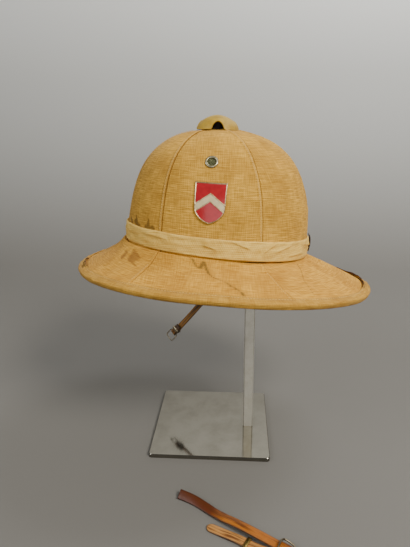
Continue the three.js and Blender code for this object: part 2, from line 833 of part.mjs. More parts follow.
function looseStations() {
  const last = looseRoute.length - 1;
  const stations = looseRoute.map((row, i) =>
    floorStation(row, floorDirection(looseRoute[Math.min(i, last - 1)], looseRoute[Math.min(i, last - 1) + 1])),
  );
  const up = vec(0, 0, 1);
  const start = stations.at(-1).point;
  const along = floorDirection(looseRoute[last - 1], looseRoute[last]);
  const back = floorDirection(looseRoute[last], returnRoute[0]);
  stations.push(...foldStations(start, along, back, up, bendRadius, 6));
  for (const row of returnRoute) {
    const { point } = floorStation(row, back);
    stations.push({ point, face: up.clone().negate() });
  }
  const forward = along.clone().sub(back).normalize();
  return { stations, forward, centre: start.clone().addScaledVector(up, -bendRadius) };
}

// Stand

// Base plate: a polished square with small round corners and bevelled edges.
function plateGeometry() {
  const half = plateSide / 2 - plateBevel;
  const r = plateCornerRadius;
  const shape = new THREE.Shape();
  shape.moveTo(-half + r, -half);
  shape.lineTo(half - r, -half);
  shape.absarc(half - r, -half + r, r, -Math.PI / 2, 0, false);
  shape.lineTo(half, half - r);
  shape.absarc(half - r, half - r, r, 0, Math.PI / 2, false);
  shape.lineTo(-half + r, half);
  shape.absarc(-half + r, half - r, r, Math.PI / 2, Math.PI, false);
  shape.lineTo(-half, -half + r);
  shape.absarc(-half + r, -half + r, r, Math.PI, Math.PI * 1.5, false);
  return new THREE.ExtrudeGeometry(shape, {
    depth: plateThickness - 2 * plateBevel,
    bevelSize: plateBevel,
    bevelThickness: plateBevel,
    bevelSegments: 1,
    curveSegments: 4,
  }).translate(0, 0, plateBevel);
}

// A solid with the shape of the crown's ceiling, drawn in by the wall and a gap.
function ceilingGeometry() {
  const inset = crownWall + padGap;
  const ceiling = new THREE.SphereGeometry(1, 48, 32);
  const position = ceiling.getAttribute("position");
  for (let i = 0; i < position.count; i++) {
    const [x, y, z] = [position.getX(i), position.getY(i), position.getZ(i)];
    const ring = Math.hypot(x, y);
    const spread = ring < 1e-6 ? 0 : ring ** (2 / crownPower - 1);
    const rise = Math.sign(z) * Math.abs(z) ** (2 / crownPower);
    position.setXYZ(i, (semiX - inset) * x * spread, (semiY - inset) * y * spread, (crownHeight - inset) * rise);
  }
  return ceiling;
}

// Post: an upright bar, an arm towards the helmet's centre, a stem, and a pad shaped to the crown's ceiling.
function postGeometry() {
  const ceilingHeight = crownHeight - crownWall - padGap;
  const padTop = vec(0, 0, ceilingHeight).applyMatrix4(helmetPlace);
  const padMiddle = vec(0, 0, ceilingHeight - padDepth / 2).applyMatrix4(helmetPlace);
  const armTop = padTop.z - padDepth - stemLength;
  const armAcross = padMiddle.x - postX;
  const armDeep = padMiddle.y - postY;
  const armLength = Math.hypot(armAcross, armDeep) + stemRadius;
  const upright = new THREE.ExtrudeGeometry(chamferedBar(postWidth, postDepth, postChamfer), {
    depth: armTop - plateThickness,
    bevelEnabled: false,
  }).translate(postX, postY, plateThickness);
  const arm = placedBox(armLength, armWidth, armHeight, armLength / 2, 0, 0)
    .rotateZ(Math.atan2(armDeep, armAcross))
    .translate(postX, postY, armTop - armHeight / 2);
  const stemBase = armTop - armHeight / 2;
  const stem = uprightCylinder(stemRadius, padMiddle.z - stemBase, 20, stemBase);
  stem.translate(padMiddle.x, padMiddle.y, 0);
  const padBlank = uprightCylinder(padRadius, padDepth * 2, 32, ceilingHeight - padDepth);
  const pad = toManifold(padBlank).intersect(toManifold(ceilingGeometry())).transform(helmetPlace.toArray());
  return fromManifold(toManifold(upright).add(toManifold(arm)).add(toManifold(stem)).add(pad));
}

// The section of a flat bar with its four edges taken off.
function chamferedBar(width, depth, chamfer) {
  const [x, y] = [width / 2, depth / 2];
  const corners = [
    [x - chamfer, -y],
    [x, chamfer - y],
    [x, y - chamfer],
    [x - chamfer, y],
    [chamfer - x, y],
    [-x, y - chamfer],
    [-x, chamfer - y],
    [chamfer - x, -y],
  ];
  return new THREE.Shape(corners.map(([cornerX, cornerY]) => new THREE.Vector2(cornerX, cornerY)));
}

// Assembly
const helmet = new THREE.Group();
helmet.add(
  namedMesh("crown", pierceForEyelets(crownGeometry()), khakiCloth),
  namedMesh("brim", brimGeometry(), underCloth),
  namedMesh("rim_binding", bindingGeometry(), khakiCloth),
  namedMesh("hat_band", bandGeometry(), bandCloth),
  namedMesh("vent_cap", capGeometry(), paintedCap),
  namedMesh("vent_socket", socketGeometry(), darkMetal),
  namedMesh("shield_badge", badgeGeometry(), redEnamel),
  namedMesh("rear_loop", rearLoopGeometry(), darkLeather),
);
for (const [label, side] of [
  ["left", -1],
  ["right", 1],
]) {
  helmet.add(
    namedMesh(`eyelet_${label}`, eyeletGeometry(side), eyeletMetal),
    namedMesh(`eyelet_screen_${label}`, screenGeometry(side), screenMetal),
  );
}
helmet.applyMatrix4(helmetPlace);

const straps = new THREE.Group();
const stub = stubStations();
const stubAcross = stub.along.clone().cross(stub.face).normalize();
const ringCentre = stub.centre.clone().addScaledVector(stub.along, ringLength / 2);
const keeperCentre = stub.centre.clone().addScaledVector(stub.along, -foldLength * 0.45);
const rivetFace = stub.stations[1].face.clone().negate();
const rivetTurn = new THREE.Quaternion().setFromUnitVectors(vec(0, 0, 1), rivetFace);
const rivetSeat = stub.stations[1].point.clone().addScaledVector(rivetFace, strapThickness / 2 + clearance);
straps.add(
  namedMesh(
    "strap_stub",
    strapGeometry(
      stub.stations.map((s) => s.point),
      stub.stations.map((s) => s.face),
      stubWidth,
      strapThickness,
    ),
    darkLeather,
  ),
  namedMesh(
    "stub_ring",
    wireLoopGeometry(
      ringWidth,
      ringLength,
      stubWidth + 2 * clearance,
      ringWire,
      ringCentre,
      stubAcross,
      stub.along,
    ),
    nickel,
  ),
  namedMesh(
    "stub_keeper",
    sleeveGeometry(
      keeperCentre,
      stub.along,
      stub.face,
      stubWidth + 2 * clearance,
      2 * (foldRadius + strapThickness / 2 + clearance),
      keeperLength,
      keeperThickness,
    ),
    nickel,
  ),
  namedMesh(
    "strap_rivet",
    uprightCylinder(rivetHeadRadius, rivetHeadHeight, 20, 0)
      .applyQuaternion(rivetTurn)
      .translate(...rivetSeat.toArray()),
    nickel,
  ),
);

const loose = looseStations();
const buckleAcross = loose.forward.clone().cross(vec(0, 0, 1)).normalize();
const buckleLean = 23; // degrees that the buckle's frame rises as it lies back over the strap
const buckleAlong = loose.forward
  .clone()
  .multiplyScalar(-Math.cos(buckleLean * degrees))
  .add(vec(0, 0, Math.sin(buckleLean * degrees)));
const buckleCentre = loose.centre.clone().addScaledVector(buckleAlong, buckleLength / 2);
const sliderFrom = returnRoute[sliderRow];
const sliderTo = returnRoute[sliderRow + 1];
const sliderAlong = floorDirection(sliderFrom, sliderTo);
const sliderCentre = floorStation(sliderFrom, sliderAlong).point.addScaledVector(sliderAlong, keeperLength);
straps.add(
  namedMesh(
    "loose_strap",
    strapGeometry(
      loose.stations.map((s) => s.point),
      loose.stations.map((s) => s.face),
      looseWidth,
      strapThickness,
    ),
    brownLeather,
  ),
  namedMesh(
    "loose_buckle",
    wireLoopGeometry(
      buckleWidth,
      buckleLength,
      looseWidth + 2 * clearance,
      buckleWire,
      buckleCentre,
      buckleAcross,
      buckleAlong,
    ),
    nickel,
  ),
  namedMesh(
    "loose_slider",
    sleeveGeometry(
      sliderCentre,
      sliderAlong,
      vec(0, 0, 1),
      looseWidth + 2 * clearance,
      strapThickness + 2 * clearance,
      keeperLength,
      keeperThickness,
    ),
    agedBrass,
  ),
);

const stand = new THREE.Group();
stand.add(
  namedMesh("stand_plate", plateGeometry(), polishedSteel),
  namedMesh("stand_post", postGeometry(), polishedSteel),
);

const part = new THREE.Group();
part.add(helmet, straps, stand);

export default part;
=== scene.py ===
# %% [markdown]
# # A cloth-covered sun helmet on a polished stand
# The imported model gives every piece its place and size. This scene puts the finished surfaces round it: sewn cloth,
# enamel, tarnished metal, leather and polished steel. Everything is worked out in millimetres in the helmet's own
# frame, whose front points to -X and whose origin is the centre of the crown's base, and is then placed in metres.

import math

import bpy
import numpy as np
from mathutils import Matrix


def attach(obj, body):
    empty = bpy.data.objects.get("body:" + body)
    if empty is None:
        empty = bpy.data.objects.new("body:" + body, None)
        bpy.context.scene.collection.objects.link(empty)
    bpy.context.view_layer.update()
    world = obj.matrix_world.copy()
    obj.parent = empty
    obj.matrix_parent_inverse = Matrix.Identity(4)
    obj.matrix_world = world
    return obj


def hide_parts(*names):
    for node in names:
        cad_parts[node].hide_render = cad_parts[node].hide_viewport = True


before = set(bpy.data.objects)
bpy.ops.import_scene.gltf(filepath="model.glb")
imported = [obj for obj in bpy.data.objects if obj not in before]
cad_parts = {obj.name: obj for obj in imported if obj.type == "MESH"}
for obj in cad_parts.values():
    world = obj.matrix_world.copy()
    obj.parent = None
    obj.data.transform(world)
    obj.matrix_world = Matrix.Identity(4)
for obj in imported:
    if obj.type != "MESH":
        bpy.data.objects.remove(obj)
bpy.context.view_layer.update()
print("nodes in the frame:", len(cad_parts))

# %% [markdown]
# ## The camera
# The photograph was taken from just above the brim, a little to the right of the helmet's middle. Its place, its
# tilt and its lens were worked out from the stand's square base, whose four corners all show. A camera can also be
# aimed at a target by a constraint, but three turns written down are easier to compare with a measurement.

# %% Set the camera
CAMERA_PLACE = (0.0309, -0.5467, 0.3795)
CAMERA_YAW = 4.0
CAMERA_PITCH = -17.82
CAMERA_ROLL = -0.5
FOCAL_PIXELS = 495.0
PICTURE_HEIGHT = 547

camera_data = bpy.data.cameras.new("view_camera")
camera_data.sensor_fit = "AUTO"
camera_data.sensor_width = 36.0
camera_data.lens = camera_data.sensor_width * FOCAL_PIXELS / PICTURE_HEIGHT
camera = bpy.data.objects.new("view_camera", camera_data)
bpy.context.scene.collection.objects.link(camera)
camera.matrix_world = (
    Matrix.Translation(CAMERA_PLACE)
    @ Matrix.Rotation(math.radians(CAMERA_YAW), 4, "Z")
    @ Matrix.Rotation(math.radians(90 + CAMERA_PITCH), 4, "X")
    @ Matrix.Rotation(math.radians(CAMERA_ROLL), 4, "Z")
)
bpy.context.scene.camera = camera
print("lens in mm:", round(camera_data.lens, 2))

# %% [markdown]
# ## The helmet's own frame
# The helmet hangs a little crooked on its stand: the wearer's left side is lifted and the rear hangs lower. One
# matrix holds that pose, so that every later piece can be drawn on a level helmet and set down by the same step.

# %% Place the helmet's frame
HELMET_PLACE = (5.0, 12.0, 236.6)
HELMET_YAW = -2.0
HELMET_TILT = -2.8
HELMET_ROLL = 3.6
MM = 0.001

helmet_matrix = (
    Matrix.Translation(HELMET_PLACE)
    @ Matrix.Rotation(math.radians(HELMET_ROLL), 4, "Y")
    @ Matrix.Rotation(math.radians(HELMET_TILT), 4, "X")
    @ Matrix.Rotation(math.radians(HELMET_YAW), 4, "Z")
)
turn_matrix = np.array(helmet_matrix.to_3x3())


def on_helmet(points):
    """Points of the level helmet, in millimetres, in their places on the stand."""
    return np.asarray(points) @ turn_matrix.T + np.array(HELMET_PLACE)


print("helmet's base in mm:", HELMET_PLACE, "turned in degrees:", (HELMET_ROLL, HELMET_TILT, HELMET_YAW))

# %% [markdown]
# ## Helpers for meshes
# A grid of points with quads between them suits everything here that is woven, bent or turned. It could also be
# made with modifiers or sculpted, but a formula keeps each fold and seam at its real size. Each vertex can carry
# values of its own, such as how far it lies along the thread, which the materials read later.

# %% Faces of a grid
def grid_faces(rows, columns, rows_meet=False, columns_meet=False):
    """Quads between neighbouring points of a grid that is stored row by row."""
    row, column = np.meshgrid(
        np.arange(rows if rows_meet else rows - 1),
        np.arange(columns if columns_meet else columns - 1),
        indexing="ij",
    )
    next_row, next_column = (row + 1) % rows, (column + 1) % columns
    corners = [
        row * columns + column,
        row * columns + next_column,
        next_row * columns + next_column,
        next_row * columns + column,
    ]
    return np.stack(corners, -1).reshape(-1, 4)


def signed_volume(points, faces):
    """The volume that the quads enclose, negative when they look inwards."""
    a, b, c, d = (points[faces[:, i]] for i in range(4))
    return (np.einsum("ij,ij->i", a, np.cross(b, c)) + np.einsum("ij,ij->i", a, np.cross(c, d))).sum() / 6


def join_parts(parts):
    """One list of points, quads and end caps from several (points, quads, caps)."""
    points, quads, caps, start = [], [], [], 0
    for part_points, part_quads, part_caps in parts:
        points.append(part_points)
        quads.append(np.asarray(part_quads) + start)
        caps += [[start + corner for corner in cap] for cap in part_caps]
        start += len(part_points)
    return np.concatenate(points), np.concatenate(quads), caps


# %% Make a piece of the model
def make_piece(name, points, faces, materials, replaces=(), values=None, zones=None, caps=()):
    """A smooth mesh from points in millimetres, riding the one body, with its own values at each vertex."""
    points = np.asarray(points, float).reshape(-1, 3)
    faces = np.asarray(faces)
    caps = [list(cap) for cap in caps]
    if signed_volume(points, faces) < 0:
        faces = faces[:, ::-1]
        caps = [cap[::-1] for cap in caps]
    mesh = bpy.data.meshes.new(name)
    mesh.from_pydata((points * MM).tolist(), [], faces.tolist() + caps)
    for value_name, numbers in (values or {}).items():
        numbers = np.asarray(numbers, float).reshape(len(points), -1)
        kind, field = ("FLOAT_VECTOR", "vector") if numbers.shape[1] == 3 else ("FLOAT", "value")
        stored = mesh.attributes.new(value_name, kind, "POINT")
        stored.data.foreach_set(field, numbers.ravel())
    for material in materials:
        mesh.materials.append(material)
    if zones is not None:
        mesh.polygons.foreach_set("material_index", np.asarray(list(zones) + [0] * len(caps), int))
    mesh.polygons.foreach_set("use_smooth", [True] * len(faces) + [False] * len(caps))
    mesh.update()
    made = bpy.data.objects.new(name, mesh)
    bpy.context.scene.collection.objects.link(made)
    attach(made, "root")
    if replaces:
        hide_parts(*replaces)
    print(name, "faces:", len(faces) + len(caps))
    return made


def smooth_step(value, low, high):
    """0 below low, 1 above high, with a soft rise between them."""
    share = np.clip((value - low) / (high - low), 0, 1)
    return share * share * (3 - 2 * share)


# %% [markdown]
# ## Helpers for materials
# Colours are chosen as sRGB hex values, as a colour picker shows them, and the shader needs them in linear light.
# One function turns one into the other. Another adds a node with its settings and links, so that each material
# reads as a short list of what feeds what.

# %% Build materials from nodes
def linear(hex_colour):
    """An sRGB hex colour as linear red, green, blue and alpha."""
    channels = [int(hex_colour[i : i + 2], 16) / 255 for i in (1, 3, 5)]
    return [c / 12.92 if c <= 0.04045 else ((c + 0.055) / 1.055) ** 2.4 for c in channels] + [1.0]


def add_node(tree, kind, inputs=None, **settings):
    """A node with its settings, and each input set to a value or linked from another node's output."""
    made = tree.nodes.new(kind)
    for key, value in settings.items():
        setattr(made, key, value)
    for key, value in (inputs or {}).items():
        if isinstance(value, bpy.types.NodeSocket):
            tree.links.new(value, made.inputs[key])
        else:
            made.inputs[key].default_value = value
    return made


def new_material(name):
    """An empty node material, with its tree and its shader."""
    material = bpy.data.materials.new(name)
    material.use_nodes = True
    tree = material.node_tree
    print("material:", name)
    return material, tree, tree.nodes["Principled BSDF"]


MIX_A, MIX_B, MIX_RESULT = 6, 7, 2  # the colour sockets of a Mix node

# %% [markdown]
# ## Cotton drill, the helmet's cover
# The cover is unbleached cotton drill dyed khaki: a plain, slightly hairy cloth with thick and thin yarns. The
# yarns are half a millimetre apart, too fine for this picture, so the weave's relief is drawn at 1.9 mm. What the
# eye catches are the slubs, long light and dark yarns along the cloth, and the broad uneven tan of old dirt and
# sun. Both read the thread's own coordinates, so that they turn with each panel. Stains are kept as distances in
# millimetres from where the water stopped, and the material turns a distance into a ragged brown edge.

# %% The yarns of cotton drill
THREAD_SPACING = 1.9  # drawn nearly four times as coarse as the real 0.5 mm
SLUB_LENGTH = 15.0
SLUB_WIDTH = 0.9
WARP_WEIGHT = 0.55  # the upright yarns show less than the level ones
BANDS_PER_UNIT = math.pi / 10  # turns a wave texture's scale into one ridge per unit of length


def drill_yarns(tree, grain):
    """The slubs along both threads and the fine ridges of the weave, as two outputs."""
    yarns = []
    for stretch in ((1 / SLUB_LENGTH, 1 / SLUB_WIDTH, 1), (1 / SLUB_WIDTH, 1 / SLUB_LENGTH, 1)):
        yarn = add_node(tree, "ShaderNodeMapping", {"Vector": grain, "Scale": stretch}).outputs["Vector"]
        noise = add_node(tree, "ShaderNodeTexNoise", {"Vector": yarn, "Scale": 1.0, "Detail": 2.0})
        yarns.append(noise.outputs["Fac"])
    slubs = add_node(
        tree, "ShaderNodeMath", {0: yarns[1], 1: WARP_WEIGHT, 2: yarns[0]}, operation="MULTIPLY_ADD"
    ).outputs[0]
    ridges = [
        add_node(
            tree,
            "ShaderNodeTexWave",
            {"Vector": grain, "Scale": BANDS_PER_UNIT / THREAD_SPACING, "Distortion": 0.8, "Detail Scale": 0.3},
            bands_direction=direction,
        ).outputs["Fac"]
        for direction in "XY"
    ]
    weave = add_node(tree, "ShaderNodeMath", {0: ridges[0], 1: ridges[1]}, operation="MULTIPLY").outputs[0]
    return slubs, weave


# %% Stains on the cloth
MARK_GRIT = 1.4  # size in mm of the unevenness along a stain's edge


def stained(tree, colour, place, marks):
    """The colour with marks on it. A mark is a stored distance, its colour, its reach in mm and its strength."""
    grit = add_node(
        tree, "ShaderNodeTexNoise", {"Vector": place, "Scale": 1000 / MARK_GRIT, "Detail": 2.0, "Roughness": 0.6}
    ).outputs["Fac"]
    for stored, mark_colour, reach, strength in marks:
        distance = add_node(tree, "ShaderNodeAttribute", attribute_name=stored).outputs["Fac"]
        ragged = add_node(
            tree, "ShaderNodeMath", {0: grit, 1: reach, 2: distance}, operation="MULTIPLY_ADD"
        ).outputs[0]
        share = add_node(
            tree,
            "ShaderNodeMapRange",
            {"Value": ragged, "From Min": 0.5 * reach, "From Max": 1.6 * reach, "To Min": strength, "To Max": 0.0},
            interpolation_type="SMOOTHSTEP",
        ).outputs["Result"]
        colour = add_node(
            tree, "ShaderNodeMix", {0: share, MIX_A: colour, MIX_B: linear(mark_colour)}, data_type="RGBA"
        ).outputs[MIX_RESULT]
    return colour


# %% Weave the cloth
PATCH_SIZE = 34.0  # mm, the patches of old dirt and sun
SLUB_RELIEF = 1.6  # how much more the slubs stand out than the weave


def woven_cloth(name, light, dark, soil, marks=(), soiling=0.5):
    """Cotton drill in two tones of yarn, soiled in patches up to a share, with marks on it."""
    material, tree, shader = new_material(name)
    grain = add_node(tree, "ShaderNodeAttribute", attribute_name="grain").outputs["Vector"]
    place = add_node(tree, "ShaderNodeTexCoord").outputs["Object"]
    slubs, weave = drill_yarns(tree, grain)
    slub_share = add_node(
        tree, "ShaderNodeMapRange", {"Value": slubs, "From Min": 0.56, "From Max": 1.0}
    ).outputs["Result"]
    colour = add_node(
        tree, "ShaderNodeMix", {0: slub_share, MIX_A: linear(dark), MIX_B: linear(light)}, data_type="RGBA"
    ).outputs[MIX_RESULT]
    patches = add_node(
        tree, "ShaderNodeTexNoise", {"Vector": place, "Scale": 1000 / PATCH_SIZE, "Detail": 4.0, "Roughness": 0.62}
    ).outputs["Fac"]
    soil_share = add_node(
        tree, "ShaderNodeMapRange", {"Value": patches, "From Min": 0.4, "From Max": 0.68, "To Max": soiling}
    ).outputs["Result"]
    colour = add_node(
        tree, "ShaderNodeMix", {0: soil_share, MIX_A: colour, MIX_B: linear(soil)}, data_type="RGBA"
    ).outputs[MIX_RESULT]
    relief = add_node(
        tree, "ShaderNodeMath", {0: slubs, 1: SLUB_RELIEF, 2: weave}, operation="MULTIPLY_ADD"
    ).outputs[0]
    bump = add_node(tree, "ShaderNodeBump", {"Height": relief, "Strength": 0.6, "Distance": 0.0004})
    tree.links.new(stained(tree, colour, place, marks), shader.inputs["Base Color"])
    tree.links.new(bump.outputs["Normal"], shader.inputs["Normal"])
    # Loose cotton fibres scatter light: no highlight to speak of, and a faint sheen at the outline
    cotton = {"Roughness": 0.92, "IOR": 1.45, "Specular IOR Level": 0.2, "Sheen Weight": 0.05, "Sheen Roughness": 0.5}
    for socket, number in cotton.items():
        shader.inputs[socket].default_value = number
    return material


# %% Dye the helmet's five cloths
# The crown's drill is a golden khaki with brown slubs. Seams: painted shade in the groove, painted highlight on the
# ridge
crown_cloth = woven_cloth(
    "cotton_drill_crown",
    "#e8b44c",
    "#a57a26",
    "#91641f",
    marks=[
        ("seam_shade", "#6b4518", 0.75, 0.85),
        ("seam_ridge_highlight", "#e6c382", 0.8, 0.22),
        ("smudge", "#4d3414", 1.8, 0.65),
    ],
)
# The brim's is the same drill, paler from sun and rain. The tide line has a wide tan halo and a narrow dark edge
brim_cloth = woven_cloth(
    "cotton_drill_brim",
    "#ebb449",
    "#b17c22",
    "#9c6620",
    marks=[
        # Painted shade along the seams' grooves and along the brim's crease
        ("seam_shade", "#7a5220", 0.6, 0.75),
        ("tide", "#a5722c", 5.0, 0.4),
        ("tide", "#5f4a22", 1.5, 0.8),
        ("smear", "#6e3f1a", 2.2, 0.6),
    ],
)
# The rim's tape is handled most, so it is duller; painted shade darkens its underside and, nearly black, its lifted
# edge
binding_cloth = woven_cloth(
    "cotton_tape_binding",
    "#d3a548",
    "#a97a28",
    "#966826",
    marks=[("rim_underside_shade", "#8c672c", 2.4, 0.6), ("lifted_edge_shade", "#3a1d0e", 0.8, 0.95)],
)
# The hat band is thinner cotton, hardly dyed: pale, with less contrast, and painted shade along its soft creases
band_cloth = woven_cloth(
    "cotton_band", "#f3cf6f", "#d6ab4d", "#b08636", marks=[("crease_shade", "#8c6a2c", 0.6, 0.3)], soiling=0.45
)
# The inside of the shell and the brim's hidden face are dull, even cotton that no sun has reached
inner_cloth = woven_cloth("cotton_inner_face", "#a3905c", "#85744a", "#7a6438")

# %% Make the sewing thread
TWISTS_PER_PIECE = 900.0  # twists of about 0.4 mm, as this noise is spread over a piece some 335 mm long

# Waxed thread is a little paler and glossier than the cloth, so that each stitch catches a small light
thread, thread_tree, thread_shader = new_material("waxed_cotton_thread")
thread_shader.inputs["Base Color"].default_value = linear("#d2a95c")
thread_shader.inputs["Roughness"].default_value = 0.6
thread_noise = add_node(thread_tree, "ShaderNodeTexNoise", {"Scale": TWISTS_PER_PIECE, "Detail": 2.0})
thread_bump = add_node(
    thread_tree, "ShaderNodeBump", {"Height": thread_noise.outputs["Fac"], "Strength": 0.4, "Distance": 0.0002}
)
thread_tree.links.new(thread_bump.outputs["Normal"], thread_shader.inputs["Normal"])

# %% [markdown]
# ## The crown
# The crown is a moulded shell with its cover sewn from six gores that meet under the cap, a little ahead of the
# middle. Each seam is felled: one gore's edge lies over the next and is stitched down, which leaves a sharp step
# on one side and a soft one on the other. A normal map on a smooth dome would look flat at the outline, so the
# steps, the puckers and the slow dents of an old shell are in the mesh. Its columns crowd towards each seam.

# %% Shape of the crown
CROWN_SEMI_X = 102.0
CROWN_SEMI_Y = 88.5
CROWN_HEIGHT = 127.0
CROWN_POWER = 2.6
GORE_COUNT = 6
GORE_FLATNESS = 1.4
MEAN_RADIUS = (CROWN_SEMI_X + CROWN_SEMI_Y) / 2
GORE_ANGLE = 2 * math.pi / GORE_COUNT


def crown_share(z):
    """The crown's outline at a height, as a share of its outline at the base."""
    rise = np.clip(np.asarray(z, float) / CROWN_HEIGHT, 0, 1)
    return (1 - rise**CROWN_POWER) ** (1 / CROWN_POWER)


def gore_sag(angle, z):
    """How far the flattened middle of a gore lies inside the round outline."""
    return GORE_FLATNESS * (1 - np.cos(GORE_COUNT * angle)) / 2 * np.sin(np.pi * np.clip(z / CROWN_HEIGHT, 0, 1))


def crown_normal(points):
    """The outward direction of the crown's surface at its points."""
    x, y, z = points[..., 0], points[..., 1], np.maximum(points[..., 2], 0)
    plan = (x / CROWN_SEMI_X) ** 2 + (y / CROWN_SEMI_Y) ** 2
    side = np.maximum(plan, 1e-9) ** (CROWN_POWER / 2 - 1)
    upwards = z ** (CROWN_POWER - 1) / CROWN_HEIGHT**CROWN_POWER
    normal = np.stack([side * x / CROWN_SEMI_X**2, side * y / CROWN_SEMI_Y**2, upwards], -1)
    return normal / np.linalg.norm(normal, axis=-1)[..., None]


print("the crown's base in mm:", 2 * CROWN_SEMI_X, "by", 2 * CROWN_SEMI_Y)


# %% Draw the gores together under the cap
CAP_OFFSET = -6.4
CAP_LEAN = 1.8  # degrees


def drawn_to_cap(points, inset):
    """Points slid along the crown to the front, the more the higher they are, so that the gores meet at the cap."""
    semi_x, semi_y, height = CROWN_SEMI_X - inset, CROWN_SEMI_Y - inset, CROWN_HEIGHT - inset
    slide = (CAP_OFFSET + inset * math.tan(math.radians(CAP_LEAN))) * (points[..., 2] / height) ** 2
    normal = crown_normal(points)
    moved = points - normal * (slide * normal[..., 0])[..., None]
    moved[..., 0] += slide
    plan = (moved[..., 0] / semi_x) ** 2 + (moved[..., 1] / semi_y) ** 2
    size = (plan ** (CROWN_POWER / 2) + (moved[..., 2] / height) ** CROWN_POWER) ** (1 / CROWN_POWER)
    return moved / size[..., None]


def crown_surface(angle, share, height, inset=0.0):
    """Points of the crown at ring angles and rows, each row given by its outline's share and its height."""
    angle, share, height = np.broadcast_arrays(angle, share, height)
    outline = [(CROWN_SEMI_X - inset) * share * np.cos(angle), (CROWN_SEMI_Y - inset) * share * np.sin(angle), height]
    points = drawn_to_cap(np.stack(outline, -1).astype(float), inset)
    sag = gore_sag(angle, height)
    points[..., 0] -= sag * np.cos(angle)
    points[..., 1] -= sag * np.sin(angle)
    return points


# %% Rows up the crown
VENT_HOLE_RADIUS = 7.8
PROFILE_SAMPLES = 4000


def crown_rows(inset, count):
    """Distances, outline shares and heights at even steps along the crown's profile, up to the vent hole."""
    width = CROWN_SEMI_Y - inset
    top = math.acos((VENT_HOLE_RADIUS / width) ** (CROWN_POWER / 2))
    turn = np.linspace(0, top, PROFILE_SAMPLES)
    share = np.cos(turn) ** (2 / CROWN_POWER)
    height = (CROWN_HEIGHT - inset) * np.sin(turn) ** (2 / CROWN_POWER)
    arc = np.concatenate([[0], np.cumsum(np.hypot(np.diff(share * MEAN_RADIUS), np.diff(height)))])
    even = np.linspace(0, arc[-1], count)
    return [column[:, None] for column in (even, np.interp(even, arc, share), np.interp(even, arc, height))]


# %% Places on the crown's side
def side_place(x, z, lift=0.0):
    """A point of the crown's left side at a distance along the helmet and a height, and the surface's direction."""
    x, z = np.broadcast_arrays(np.asarray(x, float), np.asarray(z, float))
    share = crown_share(z)
    angle = -np.arccos(np.clip(x / (CROWN_SEMI_X * share), -1, 1))
    sag = gore_sag(angle, z)
    points = np.stack(
        [(CROWN_SEMI_X * share - sag) * np.cos(angle), (CROWN_SEMI_Y * share - sag) * np.sin(angle), z], -1
    )
    normal = crown_normal(points)
    return points + normal * np.asarray(lift)[..., None], normal


print("half way up the left side, in mm:", side_place(0, CROWN_HEIGHT / 2)[0].round(1))

# %% [markdown]
# ## Seams
# The columns of the crown's and the brim's grids are the same, so that a seam runs on from one to the other. A
# helper draws the relief of a felled seam from the distance to its line: a step up, a stitched-down lap, and a
# soft step down. The lap always lies towards the front, as the sewer worked from front to back.

# %% Columns that crowd towards the seams
SEAM_STEPS = (0, 0.3, 0.6, 0.9, 1.3, 1.8, 2.3, 2.8, 3.3, 3.9, 4.6, 5.6, 6.8)  # mm from the seam
PANEL_STEP = 1.5  # mm between the columns of a gore's middle

near_seam = np.array(sorted({-step for step in SEAM_STEPS} | set(SEAM_STEPS))) / MEAN_RADIUS
gore_width = GORE_ANGLE * MEAN_RADIUS
panel = np.arange(SEAM_STEPS[-1] + PANEL_STEP, gore_width - SEAM_STEPS[-1], PANEL_STEP) / MEAN_RADIUS
gore_columns = np.concatenate([near_seam, panel])
ring_angles = np.concatenate([gore * GORE_ANGLE + gore_columns for gore in range(GORE_COUNT)])
ring_degrees = np.degrees((ring_angles + math.pi) % (2 * math.pi) - math.pi)
ahead_of_seam = GORE_ANGLE / 2 - (ring_angles + GORE_ANGLE / 2) % GORE_ANGLE  # radians, towards the front
# On the right half the ring's angles grow towards the front, on the left half towards the rear
ahead_of_seam = np.where(ring_degrees > 0, -ahead_of_seam, ahead_of_seam)
print("columns round the helmet:", len(ring_angles))

# %% The relief of a felled seam
SEAM_WIDTH = 3.2
STITCH_SHARE = 0.7  # where the stitches lie across the lap
LAP_RISE = (-0.1, 0.35)  # mm from the seam's line over which the cut edge stands up
LAP_FADE = (-0.7, 0.9)  # mm from the lap's far side over which it sinks again
GROOVE = -0.25  # mm from the seam's line to the groove beside it


def felled_seam(distance, height):
    """The relief of a felled seam at a signed distance from its line: a sharp step up and a soft step down."""
    fade_start, fade_end = (SEAM_WIDTH + step for step in LAP_FADE)
    lap = smooth_step(distance, *LAP_RISE) * (1 - smooth_step(distance, fade_start, fade_end))
    groove = np.exp(-((distance - GROOVE) ** 2) / 0.08)
    stitch_dip = np.exp(-((distance - SEAM_WIDTH * STITCH_SHARE) ** 2) / 0.16)
    return height * (lap - 0.8 * groove - 0.35 * stitch_dip)


def stitched_angle(seam, radius):
    """The angle of a seam's stitches at a radius. The lap lies on the side towards the front."""
    towards_front = -1 if math.sin(seam) < -0.01 else 1
    return seam + towards_front * SEAM_WIDTH * STITCH_SHARE / radius


# %% Distances to a mark
FAR_AWAY = 99.0  # mm, for all places that a mark can't reach


def stroke_distance(places, strokes):
    """The least distance in millimetres from each place to a list of strokes, less each stroke's half width."""
    best = np.full(places.shape[:-1], FAR_AWAY)
    for (x0, y0), (x1, y1), width in strokes:
        start, run = np.array([x0, y0]), np.array([x1 - x0, y1 - y0])
        share = np.clip(((places - start) @ run) / max(run @ run, 1e-9), 0, 1)
        best = np.minimum(best, np.linalg.norm(places - start - share[..., None] * run, axis=-1) - width)
    return np.maximum(best, 0)


# %% Slow unevenness
chance = np.random.default_rng(11)


